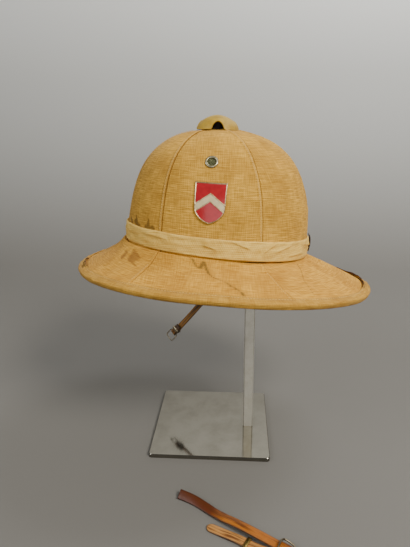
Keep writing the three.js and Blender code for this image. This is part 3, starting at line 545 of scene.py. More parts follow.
def slow_waves(count, shortest, longest, size):
    """A sum of sine waves in space, as a function: a gentle unevenness of about the given size."""
    directions = chance.normal(size=(count, 3))
    directions /= np.linalg.norm(directions, axis=1)[:, None]
    rates = 2 * np.pi / chance.uniform(shortest, longest, count)
    phases = chance.uniform(0, 2 * np.pi, count)

    def waves(points):
        return size * np.sin(points @ (directions * rates[:, None]).T + phases).sum(-1) / math.sqrt(count)

    return waves


crown_dents = slow_waves(14, 34, 110, 0.4)
crown_puckers = slow_waves(20, 7, 13, 0.14)
weft_ridges = slow_waves(8, 2.6, 6, 0.03)
DENTS_SET_IN = (6, 40)  # mm up the crown, as its foot is held true by the brim

# %% Open the eyelet holes
EYELET_X = -5.0
EYELET_Z = 95.0
EYELET_HOLE = 5.4
SHELL_REACH = 12  # mm to each side of the cover within which the hole is cut

left_seat, left_axis = side_place(EYELET_X, EYELET_Z)
to_right = np.array([1, -1, 1])  # the right eyelet mirrors the left one
eyelet_seats = [(left_seat, left_axis), (left_seat * to_right, left_axis * to_right)]


def open_eyelets(points, faces):
    """The faces that are left once the two eyelet holes are cut through the cover and the shell."""
    middle = points[faces].mean(1)
    keep = np.ones(len(faces), bool)
    for seat, axis in eyelet_seats:
        offset = middle - seat
        depth = offset @ axis
        off_axis = np.linalg.norm(offset - depth[:, None] * axis, axis=1)
        keep &= (off_axis > EYELET_HOLE) | (np.abs(depth) > SHELL_REACH)
    return keep


# %% The crown's cover
SEAM_HEIGHT = 0.85
CROWN_ROWS = 112
PUCKER_REACH = 6  # mm from a seam
SHADE_PLACE = -0.2  # mm from the seam's line to its groove, where the painted shade lies
RIDGE_PLACE = 1.3  # mm from the seam's line to the lap's ridge, where the painted highlight lies
# Smudges above the band at the front left: both ends as (degrees round the crown, mm up), and half width in mm
SMUDGES = [
    ((-147, 33), (-146, 29), 0.5),
    ((-146, 29), (-144, 24), 1.9),
    ((-148.5, 27), (-141, 24), 1.2),
    ((-131.5, 32.5), (-131, 28), 0.5),
    ((-131.5, 28), (-131, 24.5), 1.8),
    ((-134, 25), (-127, 25), 1.0),
    ((-127.5, 26.5), (-126, 24.5), 0.8),
    ((-157, 27), (-153, 24), 1.6),
]


def smudge_distance(outer):
    """How far each point of the cover lies from the smudges, in millimetres along it."""
    to_mm = np.array([math.radians(1) * MEAN_RADIUS, 1.0])
    places = np.stack(np.broadcast_arrays(ring_degrees, outer[..., 2]), -1) * to_mm
    return stroke_distance(places, [(np.array(a) * to_mm, np.array(b) * to_mm, width) for a, b, width in SMUDGES])


def crown_outside():
    """The cover's points with their relief, their thread's coordinates, and the distances to its marks."""
    arc, share, height = crown_rows(0.0, CROWN_ROWS)
    outer = crown_surface(ring_angles, share, height)
    radius = np.hypot(outer[..., 0], outer[..., 1])
    seam_distance = ahead_of_seam * radius
    relief = felled_seam(seam_distance, SEAM_HEIGHT) * smooth_step(arc, 0, 4)
    relief = relief + crown_dents(outer) * smooth_step(arc, *DENTS_SET_IN)
    relief = relief + crown_puckers(outer) * np.exp(-np.abs(seam_distance) / PUCKER_REACH) + weft_ridges(outer)
    outer = outer + crown_normal(outer) * relief[..., None]
    marks = {
        "smudge": smudge_distance(outer),
        # Distances to the painted shade in each seam's groove and to the painted highlight on its ridge
        "seam_shade": np.abs(seam_distance - SHADE_PLACE),
        "seam_ridge_highlight": np.abs(seam_distance - RIDGE_PLACE),
    }
    return outer, radius, arc, marks


# %% Build the crown
CROWN_WALL = 5.0
CEILING_ROWS = 24


def build_crown():
    outer, radius, arc, marks = crown_outside()
    ceiling_arc, ceiling_share, ceiling_height = crown_rows(CROWN_WALL, CEILING_ROWS)
    ceiling = crown_surface(ring_angles, ceiling_share, ceiling_height, CROWN_WALL)
    rows, columns = CROWN_ROWS + CEILING_ROWS, len(ring_angles)
    gore_middle = (ring_angles % GORE_ANGLE) - GORE_ANGLE / 2
    grain = np.zeros((rows, columns, 3))
    grain[:CROWN_ROWS, :, 0] = gore_middle * radius
    grain[:CROWN_ROWS, :, 1] = arc
    grain[CROWN_ROWS:, :, 0] = gore_middle * MEAN_RADIUS * ceiling_share[::-1]
    grain[CROWN_ROWS:, :, 1] = ceiling_arc[::-1]
    unmarked = np.full((CEILING_ROWS, columns), FAR_AWAY)
    points = np.concatenate([outer, ceiling[::-1]]).reshape(-1, 3)
    faces = grid_faces(rows, columns, rows_meet=True, columns_meet=True)
    faces = faces[open_eyelets(points, faces)]
    make_piece(
        "crown_cover",
        on_helmet(points),
        faces,
        [crown_cloth, inner_cloth],
        replaces=["crown"],
        values={"grain": grain, **{name: np.concatenate([mark, unmarked]) for name, mark in marks.items()}},
        zones=faces.min(1) // columns >= CROWN_ROWS,
    )


build_crown()

# %% [markdown]
# ## Things drawn along a line
# Straps, wires, stitches and rings are all an outline carried along a line. Blender's curve objects do the same
# with a bevel, but a strap has to keep its flat face where the leather lay, so a small function carries the
# outline itself and turns it to follow a given upward direction at each point.

# %% Carry an outline along a line
def unit(vectors):
    """Vectors scaled to length one."""
    vectors = np.asarray(vectors, float)
    return vectors / np.linalg.norm(vectors, axis=-1)[..., None]


def sweep(centres, ups, outline, closed=False):
    """Points, quads and end caps of an outline of (across, up) offsets carried along a line of centres."""
    centres = np.asarray(centres, float)
    if closed:
        along = unit(np.roll(centres, -1, 0) - np.roll(centres, 1, 0))
    else:
        along = unit(np.gradient(centres, axis=0))
    ups = np.broadcast_to(np.asarray(ups, float), centres.shape)
    ups = unit(ups - along * np.einsum("ij,ij->i", ups, along)[:, None])
    across = np.cross(along, ups)
    outline = np.asarray(outline, float)
    if outline.ndim == 2:
        outline = np.broadcast_to(outline, (len(centres), *outline.shape))
    points = centres[:, None] + across[:, None] * outline[..., :1] + ups[:, None] * outline[..., 1:]
    rows, columns = points.shape[:2]
    quads = grid_faces(rows, columns, rows_meet=closed, columns_meet=True)
    ends = [] if closed else [list(range(columns))[::-1], list(range((rows - 1) * columns, rows * columns))]
    return points.reshape(-1, 3), quads, ends


def round_outline(radius, sides):
    """A round wire's outline."""
    turn = np.arange(sides) / sides * 2 * np.pi
    return np.stack([radius * np.cos(turn), radius * np.sin(turn)], -1)


def flat_outline(width, thickness, corner, per_corner=3):
    """A strap's outline: a rectangle with rounded corners."""
    turn = (np.arange(4 * per_corner) // per_corner + np.tile(np.linspace(0, 1, per_corner), 4)) * np.pi / 2
    sign_x = np.repeat([1, -1, -1, 1], per_corner)
    sign_y = np.repeat([1, 1, -1, -1], per_corner)
    across = sign_x * (width / 2 - corner) + corner * np.cos(turn)
    up = sign_y * (thickness / 2 - corner) + corner * np.sin(turn)
    return np.stack([across, up], -1)


# %% Smooth a line between its stations
def resample(points, spacing):
    """A smooth curve through rows of numbers, place first, at about even spacing, and the distances along it."""
    points = np.asarray(points, float)
    arc = np.concatenate([[0], np.cumsum(np.linalg.norm(np.diff(points[:, :3], axis=0), axis=1))])
    slope = np.gradient(points, arc, axis=0)
    at = np.linspace(0, arc[-1], max(int(arc[-1] / spacing), 4) + 1)
    i = np.clip(np.searchsorted(arc, at, side="right") - 1, 0, len(arc) - 2)
    step = (arc[i + 1] - arc[i])[:, None]
    t = (at - arc[i])[:, None] / step
    start = (1 + 2 * t) * (1 - t) ** 2 * points[i] + t * (1 - t) ** 2 * step * slope[i]
    end = t**2 * (3 - 2 * t) * points[i + 1] + t**2 * (t - 1) * step * slope[i + 1]
    return start + end, at


# %% [markdown]
# ## Topstitching
# Each lap is held by a row of stitches 3 mm apart. They could be painted on, but at the outline and in a low
# light real ones show as a row of small bumps, so each is a short thread with its ends sunk into the cloth.

# %% One row of stitches
STITCH_PITCH = 3.0
STITCH_LENGTH = 2.3
STITCH_RADIUS = 0.28
FIRST_STITCH = 0.4
# Five places along a stitch: share of its length, mm above the cloth, and share of its full radius
STITCH_SHAPE = np.array([(0, -0.2, 0.5), (0.16, 0.08, 0.9), (0.5, 0.16, 1), (0.84, 0.08, 0.9), (1, -0.2, 0.5)])


def stitch_row(line, normals):
    """Stitches along a line on the surface: a list of small swept parts."""
    share, lift, swell = STITCH_SHAPE.T
    arc = np.concatenate([[0], np.cumsum(np.linalg.norm(np.diff(line, axis=0), axis=1))])
    outline = round_outline(1.0, 6) * (STITCH_RADIUS * swell)[:, None, None]
    parts = []
    for start in np.arange(FIRST_STITCH, arc[-1] - STITCH_PITCH, STITCH_PITCH):
        at = start + share * STITCH_LENGTH
        centre, up = (np.stack([np.interp(at, arc, row) for row in rows.T], -1) for rows in (line, normals))
        parts.append(sweep(centre + up * lift[:, None], up, outline))
    return parts


def sew(name, parts):
    """One piece from many stitches."""
    points, quads, caps = join_parts(parts)
    make_piece(name, on_helmet(points), quads, [thread], caps=caps)


# %% Sew the crown's seams
LAP_TOP = 0.65  # how high the stitches lie on the lap, as a share of its height
STITCHED_ROWS = slice(16, -9)  # from behind the band to the cap

crown_stitches = []
arc, share, height = crown_rows(0.0, CROWN_ROWS)
for gore in range(GORE_COUNT):
    beside = stitched_angle(gore * GORE_ANGLE, MEAN_RADIUS * share)
    line = crown_surface(beside, share, height)[:, 0]
    normals = crown_normal(line)
    lift = SEAM_HEIGHT * LAP_TOP + crown_dents(line) * smooth_step(arc[:, 0], *DENTS_SET_IN)
    line = line + normals * lift[:, None]
    crown_stitches += stitch_row(line[STITCHED_ROWS], normals[STITCHED_ROWS])
sew("crown_topstitching", crown_stitches)

# %% [markdown]
# ## The brim
# The brim is a stiff sheet that slopes down from the crown and reaches furthest at the back, where it shades the
# neck. Its cover is pieced at the same six places as the crown. Water once ran across it and left a wavy tide
# line, darker at its edge, where the dirt that it carried stopped. The line is a list of places on the brim and
# each vertex stores how far it lies from it, which stays sharp at any size of mesh.

# %% Shape of the brim
BRIM_FRONT_REACH = 54.0
BRIM_REAR_REACH = 75.0
BRIM_SIDE_REACH = 50.0
BRIM_FRONT_DROP = 32.0
BRIM_REAR_DROP = 35.0
BRIM_SIDE_DROP = 25.4
BRIM_BOW = -0.05
CLEARANCE = 0.3  # mm between solids that meet
FAR_DROOP = 7.0  # mm that the right rear of the old brim sags below its level shape
REAR_SINK = 4.0  # mm that the brim's root has sunk at the back, where the band follows it
FAR_SINK = 3.0  # mm more at the right rear
rim_waves = slow_waves(10, 60, 150, 0.35)


def rear_share(angle):
    """1 at the back of the helmet, fading to 0 towards its sides."""
    return ((1 + np.cos(angle)) / 2) ** 3


def root_sink(angle):
    """How far the brim's root has sunk, most at the right rear."""
    far = smooth_step(np.sin(angle), 0, 0.4) * np.clip(2 * np.cos(angle), 0, 1)
    return REAR_SINK * rear_share(angle) + FAR_SINK * far


def brim_point(angle, share, lift=0.0, along=0.0):
    """A point at a share of the way to the rim, moved along the brim's upward normal and outwards."""
    c, s = np.cos(angle), np.sin(angle)
    reach_x = np.where(c > 0, BRIM_REAR_REACH, BRIM_FRONT_REACH)
    end_drop = np.where(c > 0, BRIM_REAR_DROP, BRIM_FRONT_DROP)
    out = np.stack([reach_x * c, BRIM_SIDE_REACH * s], -1)
    reach = np.linalg.norm(out, axis=-1)
    out = out / reach[..., None]
    drop = BRIM_SIDE_DROP + (end_drop - BRIM_SIDE_DROP) * c * c
    fall = drop * ((1 - BRIM_BOW) * share + BRIM_BOW * share * share)
    steepness = drop * (1 - BRIM_BOW + 2 * BRIM_BOW * share) / reach
    length = np.hypot(1, steepness)
    run = reach * share + (along + lift * steepness) / length
    x = CROWN_SEMI_X * c + out[..., 0] * run
    y = CROWN_SEMI_Y * s + out[..., 1] * run
    z = -CLEARANCE - fall + (lift - along * steepness) / length
    points = np.stack([x, y, z], -1)
    droop = FAR_DROOP * smooth_step(s, 0.0, 0.7) * np.clip(2.4 * c, 0, 1)
    sink = root_sink(angle) * np.clip(1 - share / 0.8, 0, 1) ** 2
    points[..., 2] += rim_waves(points * [1, 1, 0]) * share**2 - droop * share**0.6 - sink
    return points


print("brim's reach in mm, front and back:", BRIM_FRONT_REACH, BRIM_REAR_REACH)

# %% Marks on the brim
# Places on the brim as (degrees round it, share of the way to the rim)
TIDE_LINE = [
    (-103.5, 0.0), (-101.3, 0.02), (-98.6, 0.054), (-96.7, 0.154), (-94.8, 0.21), (-93.5, 0.193), (-93.0, 0.114),
    (-92.3, 0.078), (-91.1, 0.171), (-89.2, 0.333), (-86.6, 0.416), (-84.6, 0.459), (-83.0, 0.493), (-81.5, 0.528),
    (-80.4, 0.604), (-79.3, 0.62), (-78.3, 0.685), (-77.1, 0.73), (-76.8, 0.816),
]
# Both ends of each smear, and its half width in mm
SMEARS = [
    ((-142.3, 0.338), (-143.6, 0.177), 0.3),
    ((-135.4, 0.327), (-136.9, 0.124), 0.3),
    ((-134, 0.311), (-132.1, 0.174), 1.5),
    ((-135.8, 0.316), (-127.5, 0.388), 0.7),
]
CREASE_LINE = [(-32.8, 0.06), (-38.5, 0.24), (-44.9, 0.44), (-49.5, 0.8)]
FLAT_RADIUS_GAIN = 52.0
FLAT_DEPTH = 58.0


def flat_brim_place(angle_degrees, share):
    """A place on the brim rolled out flat, in millimetres."""
    radius = MEAN_RADIUS + FLAT_RADIUS_GAIN * share
    return np.stack(np.broadcast_arrays(np.radians(angle_degrees) * radius, FLAT_DEPTH * share), -1)


def flat_strokes(ends):
    """Strokes on the flat brim from both ends of each and its half width."""
    return [(flat_brim_place(*a), flat_brim_place(*b), width) for a, b, width in ends]


def flat_line(line):
    """A line of brim places as thin strokes on the flat brim."""
    return flat_strokes([(a, b, 0.0) for a, b in zip(line, line[1:])])


# %% Small heights of the brim's cover
ROOT_RISE = 0.6
ROOT_SPREAD = 0.33
PUCKER_STRETCH = 0.7  # the brim's puckers are longer than the crown's
PUCKER_GAIN = 0.9
brim_ripples = slow_waves(14, 22, 60, 0.28)


def band_foot(angle):
    """The height of the band's lower edge, which sags at the front and drops with the brim at the rear."""
    return 3.6 - 2.2 * np.cos(angle) - 1.6 * (1 + np.cos(2 * angle)) / 2 - root_sink(angle)


def root_lift(angle, share):
    """How far the cover is drawn up to the band's foot, which it meets all round."""
    rise = np.maximum(band_foot(angle), 0.0) + ROOT_RISE
    return rise * smooth_step(share, 0, 0.016) * (1 - np.clip((share - 0.045) / ROOT_SPREAD, 0, 1)) ** 2


def brim_unevenness(points, share):
    """The puckers and ripples of the cover, in millimetres upwards."""
    return crown_puckers(points * PUCKER_STRETCH) * PUCKER_GAIN + brim_ripples(points) * smooth_step(share, 0, 0.3)


# %% The brim's upper side
BRIM_TOP_ROWS = 62
BRIM_SEAM_HEIGHT = 0.5


def brim_top(shares):
    """The cover's points with their relief, and the distances to its marks."""
    seam_distance = ahead_of_seam * (MEAN_RADIUS + FLAT_RADIUS_GAIN * shares)
    places = flat_brim_place(ring_degrees, shares)
    fold = stroke_distance(places, flat_line(CREASE_LINE))
    clear_of_edges = smooth_step(shares, 0.0, 0.05) * (1 - smooth_step(shares, 0.86, 0.9))
    relief = felled_seam(seam_distance, BRIM_SEAM_HEIGHT) * clear_of_edges
    # The hard crease at the right is a narrow ridge with a fine groove beside it
    relief = relief + 0.5 * np.exp(-((fold - 1.4) ** 2) / 1.2) * clear_of_edges
    relief = relief - 0.3 * np.exp(-(fold**2) / 0.3) * clear_of_edges
    top = brim_point(ring_angles, shares, relief + root_lift(ring_angles, shares))
    top[..., 2] += brim_unevenness(top, shares) * (1 - shares**4)
    marks = {
        "tide": stroke_distance(places, flat_line(TIDE_LINE)),
        "smear": stroke_distance(places, flat_strokes(SMEARS)),
        # Painted shade along each seam's groove and along the crease
        "seam_shade": np.minimum(np.abs(seam_distance - SHADE_PLACE), fold),
    }
    return top, marks


# %% Build the brim
BRIM_THICKNESS = 4.0
BRIM_ROOT_DEPTH = 4.6
BRIM_UNDER_ROWS = 16


def build_brim():
    shares = np.linspace(0, 1, BRIM_TOP_ROWS)[:, None]
    top, marks = brim_top(shares)
    under_shares = np.linspace(1, 0, BRIM_UNDER_ROWS)[:, None]
    under = brim_point(ring_angles, under_shares, -BRIM_THICKNESS)
    inner_x = (CROWN_SEMI_X - CROWN_WALL) * np.cos(ring_angles)
    inner_y = (CROWN_SEMI_Y - CROWN_WALL) * np.sin(ring_angles)
    root_top = np.stack([inner_x, inner_y, np.full_like(inner_x, -CLEARANCE)], -1)
    root_under = root_top - [0, 0, BRIM_ROOT_DEPTH]
    points = np.concatenate([top, under, root_under[None], root_top[None]])
    rows, columns = points.shape[:2]
    all_shares = np.concatenate([shares, under_shares, [[0], [0]]])
    gore_middle = (ring_angles % GORE_ANGLE) - GORE_ANGLE / 2
    grain = np.zeros((rows, columns, 3))
    grain[..., 0] = gore_middle * (MEAN_RADIUS + FLAT_RADIUS_GAIN * all_shares)
    grain[..., 1] = FLAT_DEPTH * all_shares
    unmarked = np.full((rows - BRIM_TOP_ROWS, columns), FAR_AWAY)
    faces = grid_faces(rows, columns, rows_meet=True, columns_meet=True)
    make_piece(
        "brim_cover",
        on_helmet(points),
        faces,
        [brim_cloth, inner_cloth],
        replaces=["brim"],
        values={"grain": grain, **{name: np.concatenate([mark, unmarked]) for name, mark in marks.items()}},
        zones=faces.min(1) // columns >= BRIM_TOP_ROWS - 1,
    )


build_brim()


# %% Sew the brim's seams and the binding's inner edge
SEWN_SHARES = np.linspace(0.08, 0.85, 60)
SEAM_STITCH_LIFT = 0.35
TAPE_STITCH_LIFT = 1.15
STITCH_INSET = -6.9  # mm outwards from the rim


def brim_normal(angle, share):
    """The brim's upward direction."""
    return unit(brim_point(angle, share, 1.0) - brim_point(angle, share))


brim_stitches = []
for gore in range(GORE_COUNT):
    beside = stitched_angle(gore * GORE_ANGLE, MEAN_RADIUS + FLAT_RADIUS_GAIN * SEWN_SHARES)
    line = brim_point(beside, SEWN_SHARES, SEAM_STITCH_LIFT)
    line[..., 2] += brim_unevenness(line, SEWN_SHARES)
    brim_stitches += stitch_row(line, brim_normal(beside, SEWN_SHARES))
rim_turn = np.linspace(0, 2 * np.pi, 721)
at_rim = np.ones_like(rim_turn)
rim_line = brim_point(rim_turn, at_rim, TAPE_STITCH_LIFT, STITCH_INSET)
brim_stitches += stitch_row(rim_line, brim_normal(rim_turn, at_rim))
sew("brim_topstitching", brim_stitches)

# %% [markdown]
# ## The rim binding
# A cotton tape folded over the brim's edge keeps the layers together. A curve with a bevelled profile would do,
# but the tape swells between its stitches and lifts at its inner edge in places, where a dark strip of painted
# shade is drawn, so its section is a short table of points and the swelling follows a slow wave.

# %% The tape's section
# From its upper inner edge round the rim to its lower inner edge: mm outwards and upwards
BINDING_OUTER = [
    (-9.0, 0.3), (-9.0, 1.0), (-8.7, 1.3), (-7.5, 1.4), (-6.9, 1.05), (-6.3, 1.4), (-4.0, 1.6), (-1.6, 1.65),
    (0.4, 1.5), (1.1, 1.0), (1.45, 0.1), (1.4, -1.7), (1.5, -3.3), (1.1, -4.7), (0.2, -5.4), (-1.2, -5.6),
    (-4.8, -5.4), (-8.4, -5.4), (-9.0, -4.9), (-9.0, -4.25),
]
BINDING_INNER = [(0.3, -4.25), (0.3, 0.3)]
BINDING_WIDTH = 9.0
LIFTED_EDGES = [(-18.0, 75.0), (182.0, 208.0)]  # where the tape's inner edge has come away, in degrees
LIFT_FADE = 8.0  # degrees at each end of such a stretch
LIFT_HEIGHT = 2.3
LIFT_WIDTH = 3.0  # mm of the tape that is lifted with its edge
binding_swell = slow_waves(14, 6, 26, 0.3)


def lifted_share(degrees):
    """1 where the tape's edge has come away, fading to 0 at both ends of each stretch."""
    share = np.zeros_like(degrees)
    for start, end in LIFTED_EDGES:
        for turn in (-360, 0, 360):
            here = degrees + turn
            rise, fall = smooth_step(here, start, start + LIFT_FADE), smooth_step(here, end - LIFT_FADE, end)
            share = np.maximum(share, rise * (1 - fall))
    return share


print("degrees of lifted tape:", sum(end - start for start, end in LIFTED_EDGES))

# %% Build the rim binding
BINDING_COLUMNS = 900
STITCH_PULL = 0.16  # mm that each stitch draws the tape in
LOWER_SWELL = 1.7  # the tape is looser below and round the edge
RUFFLE = 0.9
UNDERSIDE_SHADE_LINE = -4.6  # mm upwards, the tape's lower corner, where the painted shade is darkest


def build_binding():
    angle = np.linspace(0, 2 * np.pi, BINDING_COLUMNS, endpoint=False)
    ones = np.ones(BINDING_COLUMNS)
    lifted = lifted_share(np.degrees(angle))
    section = BINDING_OUTER + BINDING_INNER
    base = brim_point(angle, ones)
    arc = angle * (MEAN_RADIUS + FLAT_RADIUS_GAIN)
    pull = STITCH_PULL * np.cos(2 * np.pi * arc / STITCH_PITCH)
    rows, worn, underside_shade, depth = [], [], [], [0.0]
    for i, (along, up) in enumerate(section):
        if i:
            depth.append(depth[-1] + math.dist((along, up), section[i - 1]))
        swell = np.zeros(BINDING_COLUMNS)
        if i < len(BINDING_OUTER):
            swell = binding_swell(base + [0, 0, 9 * i]) * (1.0 if abs(up) < 4 else LOWER_SWELL)
            swell = swell - pull * math.exp(-((along - STITCH_INSET) ** 2) / 1.5)
        edge = lifted * max(0.0, 1 - (along + BINDING_WIDTH) / LIFT_WIDTH) * (up > 0)
        ruffle = RUFFLE * swell if up < -1.0 else 0.0
        rows.append(brim_point(angle, ones, up + swell + edge * LIFT_HEIGHT, along + ruffle))
        # Painted shade, nearly black, on the tape's inner edge where it has come away
        worn.append(np.where(lifted > 0.3, 0.0 if along < -8.6 and up > 0 else 2.5, FAR_AWAY))
        # Painted shade that darkens the tape towards its lower corner
        underside_shade.append(ones * abs(up - UNDERSIDE_SHADE_LINE))
    grain = np.zeros((len(section), BINDING_COLUMNS, 3))
    grain[..., 0] = arc
    grain[..., 1] = np.array(depth)[:, None]
    make_piece(
        "binding_tape",
        on_helmet(np.array(rows)),
        grid_faces(len(section), BINDING_COLUMNS, rows_meet=True, columns_meet=True),
        [binding_cloth],
        replaces=["rim_binding"],
        values={"grain": grain, "lifted_edge_shade": worn, "rim_underside_shade": underside_shade},
    )


build_binding()

# %% [markdown]
# ## The hat band
# The band is a strip of thin cotton, folded and drawn round the crown's foot. It sags into long slanting folds.
# Cloth simulation would give folds too, but not the ones in the photograph, so each fold is a row in a table: where
# it starts and ends, and how deep it is. A fold rises slowly towards its edge and drops sharply below it.

# %% The band's folds
# Degrees and height in mm of both ends of each fold, and its depth in mm
BAND_FOLDS = [
    ((-172, 13), (-140, 10), 0.35),
    ((-136, 14.5), (-112, 12), 0.35),
    ((-94.5, 11.9), (-85, 8.2), 0.75),
    ((-79, 17.6), (-66, 10.4), 0.85),
    ((-61, 6.8), (-50.5, 18.2), 0.8),
    ((-52, 8.6), (-37.5, 16.4), 0.9),
    ((-43, 4.4), (-20, 7.2), 0.8),
    ((-30, 16), (-2, 10), 0.6),
    ((-8, 6), (22, 13), 0.7),
    ((16, 15), (46, 6), 0.7),
    ((40, 5), (76, 13), 0.6),
    ((64, 16), (104, 8), 0.7),
    ((96, 5), (134, 12), 0.6),
    ((126, 15), (170, 8), 0.5),
]
FOLD_GAIN = 2.3
FOLD_BEND = 0.8  # mm that a fold's line is bowed upwards
FOLD_RISE = 4.2  # mm above the line over which the fold swells
FOLD_DROP = 1.0  # mm below it over which it falls away
CREASE_PLACE = -0.7  # mm above the line, so just below it, where the painted shade lies
band_waves = slow_waves(12, 30, 80, 0.25)
band_wrinkles = slow_waves(18, 9, 24, 0.42)


def band_relief(degrees, height):
    """How far the folds stand out at each place, and how near each place is to the painted shade just below a fold."""
    relief = np.zeros(np.broadcast(degrees, height).shape)
    crease_shade = np.full(relief.shape, FAR_AWAY)
    for (start, low), (end, high), depth in BAND_FOLDS:
        span = (degrees - start) / (end - start)
        inside = smooth_step(span, 0, 0.3) * (1 - smooth_step(span, 0.7, 1))
        bend = FOLD_BEND * np.sin(np.pi * np.clip(span, 0, 1))
        above = height - (low + (high - low) * span + bend)
        swell = np.where(above > 0, np.exp(-above / FOLD_RISE), np.exp(above / FOLD_DROP))
        relief += FOLD_GAIN * depth * inside * swell
        to_crease = np.abs(above - CREASE_PLACE)
        crease_shade = np.where((inside > 0.3) & (to_crease < crease_shade), to_crease, crease_shade)
    return relief, crease_shade


print("folds in the band:", len(BAND_FOLDS))

# %% Build the hat band
BAND_HEIGHT = 19.2
BAND_WIDENING = 0.13  # how much wider the band has been pulled at the back
BAND_LAYERS = 0.7  # mm, the folded cotton's thickness
EDGE_ROLL = 1.7  # mm that the band stands out within the roll of its edges
BAND_INNER_GAP = 0.35
BAND_SLANT = 0.12  # the strip winds up a little as it goes round
BAND_ROWS = 34
BAND_COLUMNS = 720


def build_band():
    angle = np.linspace(0, 2 * np.pi, BAND_COLUMNS, endpoint=False)
    degrees = np.degrees((angle + math.pi) % (2 * math.pi) - math.pi)
    height = np.linspace(0, BAND_HEIGHT, BAND_ROWS)[:, None]
    foot = band_foot(angle) + 0.2
    widening = 1 + BAND_WIDENING * rear_share(angle)

    def on_crown(height):
        level = foot + height * widening
        share = crown_share(level)
        return np.stack([CROWN_SEMI_X * share * np.cos(angle), CROWN_SEMI_Y * share * np.sin(angle), level], -1)

    outline = on_crown(height)
    relief, crease_shade = band_relief(degrees, height)
    to_edge = np.minimum(height, BAND_HEIGHT - height)
    roll = EDGE_ROLL * np.sqrt(np.clip(to_edge, 0.04, 1))
    wrinkle = band_wrinkles(outline * [1, 1, 2]) * smooth_step(to_edge, 0, 3)
    stand_out = BAND_LAYERS + roll + (relief + wrinkle) * smooth_step(to_edge, 0, 2)
    outward = np.stack([np.cos(angle), np.sin(angle), 0 * angle], -1)
    outer = outline + outward * stand_out[..., None]
    outer[..., 2] += band_waves(outline)
    inner_height = np.array([[BAND_HEIGHT - 0.6], [BAND_HEIGHT / 2], [0.3]])
    inner = on_crown(inner_height) + outward * BAND_INNER_GAP
    all_heights = np.concatenate([height, inner_height])
    rows = len(all_heights)
    grain = np.zeros((rows, BAND_COLUMNS, 3))
    grain[..., 0] = angle * MEAN_RADIUS + all_heights * 0.5
    grain[..., 1] = all_heights - BAND_SLANT * angle * MEAN_RADIUS
    uncreased = np.full((rows - BAND_ROWS, BAND_COLUMNS), FAR_AWAY)
    make_piece(
        "band_wrap",
        on_helmet(np.concatenate([outer, inner])),
        grid_faces(rows, BAND_COLUMNS, rows_meet=True, columns_meet=True),
        [band_cloth],
        replaces=["hat_band"],
        values={"grain": grain, "crease_shade": np.concatenate([crease_shade, uncreased])},
    )


build_band()

# %% [markdown]
# ## Painted, plated and enamelled metal
# Old small metal parts are rarely one colour. Paint wears to a duller tone on edges, plating clouds over, brass
# goes brown in its hollows. Each of these is a base colour and a second colour laid over it by a noise at the size
# of the real blotches, and the same noise roughens the surface a little.

# %% Make the hard materials
def worn_surface(name, colour, worn, blotch, metallic, roughness, rough_gain=0.15, bump_depth=0.0001, ior=None):
    """A hard surface in two tones, mixed by blotches of a size in millimetres."""
    material, tree, shader = new_material(name)
    place = add_node(tree, "ShaderNodeTexCoord").outputs["Object"]
    noise = add_node(
        tree, "ShaderNodeTexNoise", {"Vector": place, "Scale": 1000 / blotch, "Detail": 5.0, "Roughness": 0.65}
    ).outputs["Fac"]
    share = add_node(tree, "ShaderNodeMapRange", {"Value": noise, "From Min": 0.4, "From Max": 0.66}).outputs["Result"]
    mix = add_node(
        tree, "ShaderNodeMix", {0: share, MIX_A: linear(colour), MIX_B: linear(worn)}, data_type="RGBA"
    ).outputs[MIX_RESULT]
    rough = add_node(
        tree,
        "ShaderNodeMapRange",
        {"Value": noise, "To Min": roughness - rough_gain / 2, "To Max": roughness + rough_gain},
    ).outputs["Result"]
    bump = add_node(tree, "ShaderNodeBump", {"Height": noise, "Strength": 0.5, "Distance": bump_depth})
    tree.links.new(mix, shader.inputs["Base Color"])
    tree.links.new(rough, shader.inputs["Roughness"])
    tree.links.new(bump.outputs["Normal"], shader.inputs["Normal"])
    shader.inputs["Metallic"].default_value = metallic
    if ior:
        shader.inputs["IOR"].default_value = ior
    return material


# %% Paint and plate the small parts
# Khaki enamel paint on pressed tin: smoother than the cloth beside it, so it takes a soft highlight
cap_paint = worn_surface("khaki_paint", "#b39228", "#94731c", 9.0, 0.0, 0.5, bump_depth=0.00003, ior=1.45)
# The inside of the cap and its pin: black paint, made almost black as painted shade, so the hollow stays dark
cap_inside_black_and_shade = worn_surface("black_tin_in_painted_shade", "#16120c", "#241c12", 4.0, 0.3, 0.6)
# Nickelled rings clouded to a grey-yellow, still bright enough to glint
eyelet_metal = worn_surface("clouded_nickel", "#c2bba0", "#8d855f", 3.0, 1.0, 0.34)
# Woven wire behind the eyelet, green-grey with verdigris
screen_wire = worn_surface("tarnished_wire", "#8f9169", "#5f6448", 2.0, 0.8, 0.5)
# Bright nickel of the ring, the keeper and the buckle, with brown tarnish in its hollows
buckle_metal = worn_surface("tarnished_nickel", "#968b74", "#463826", 3.5, 1.0, 0.32)
# Brass gone olive brown
slider_metal = worn_surface("aged_brass", "#9c8348", "#5f4c26", 2.5, 1.0, 0.38)
# The stand's base: polished steel, with a faint haze of handling that keeps it from being a perfect mirror
stand_steel = worn_surface(
    "polished_steel", "#8b877d", "#7e7a70", 30.0, 1.0, 0.07, rough_gain=0.06, bump_depth=0.00001
)
# Its post: the same steel, drawn instead of polished, and made far paler as painted light, so it shows as an even pale
# bar
post_steel_painted_light = worn_surface("drawn_steel_painted_light", "#e8e6dc", "#dcd9cc", 12.0, 1.0, 0.48, bump_depth=0.00002)


# %% [markdown]
# ## The ventilator cap
# The cap is pressed from tin: a low dome whose skirt is cut away into four arches, so that air leaves under it. One
# grid makes it whole. Each column starts at the skirt's edge, goes up the outside to the top and comes back down
# the inside, and the edge simply rises and falls with the arches. A thin bead follows the edge, as on the real one.

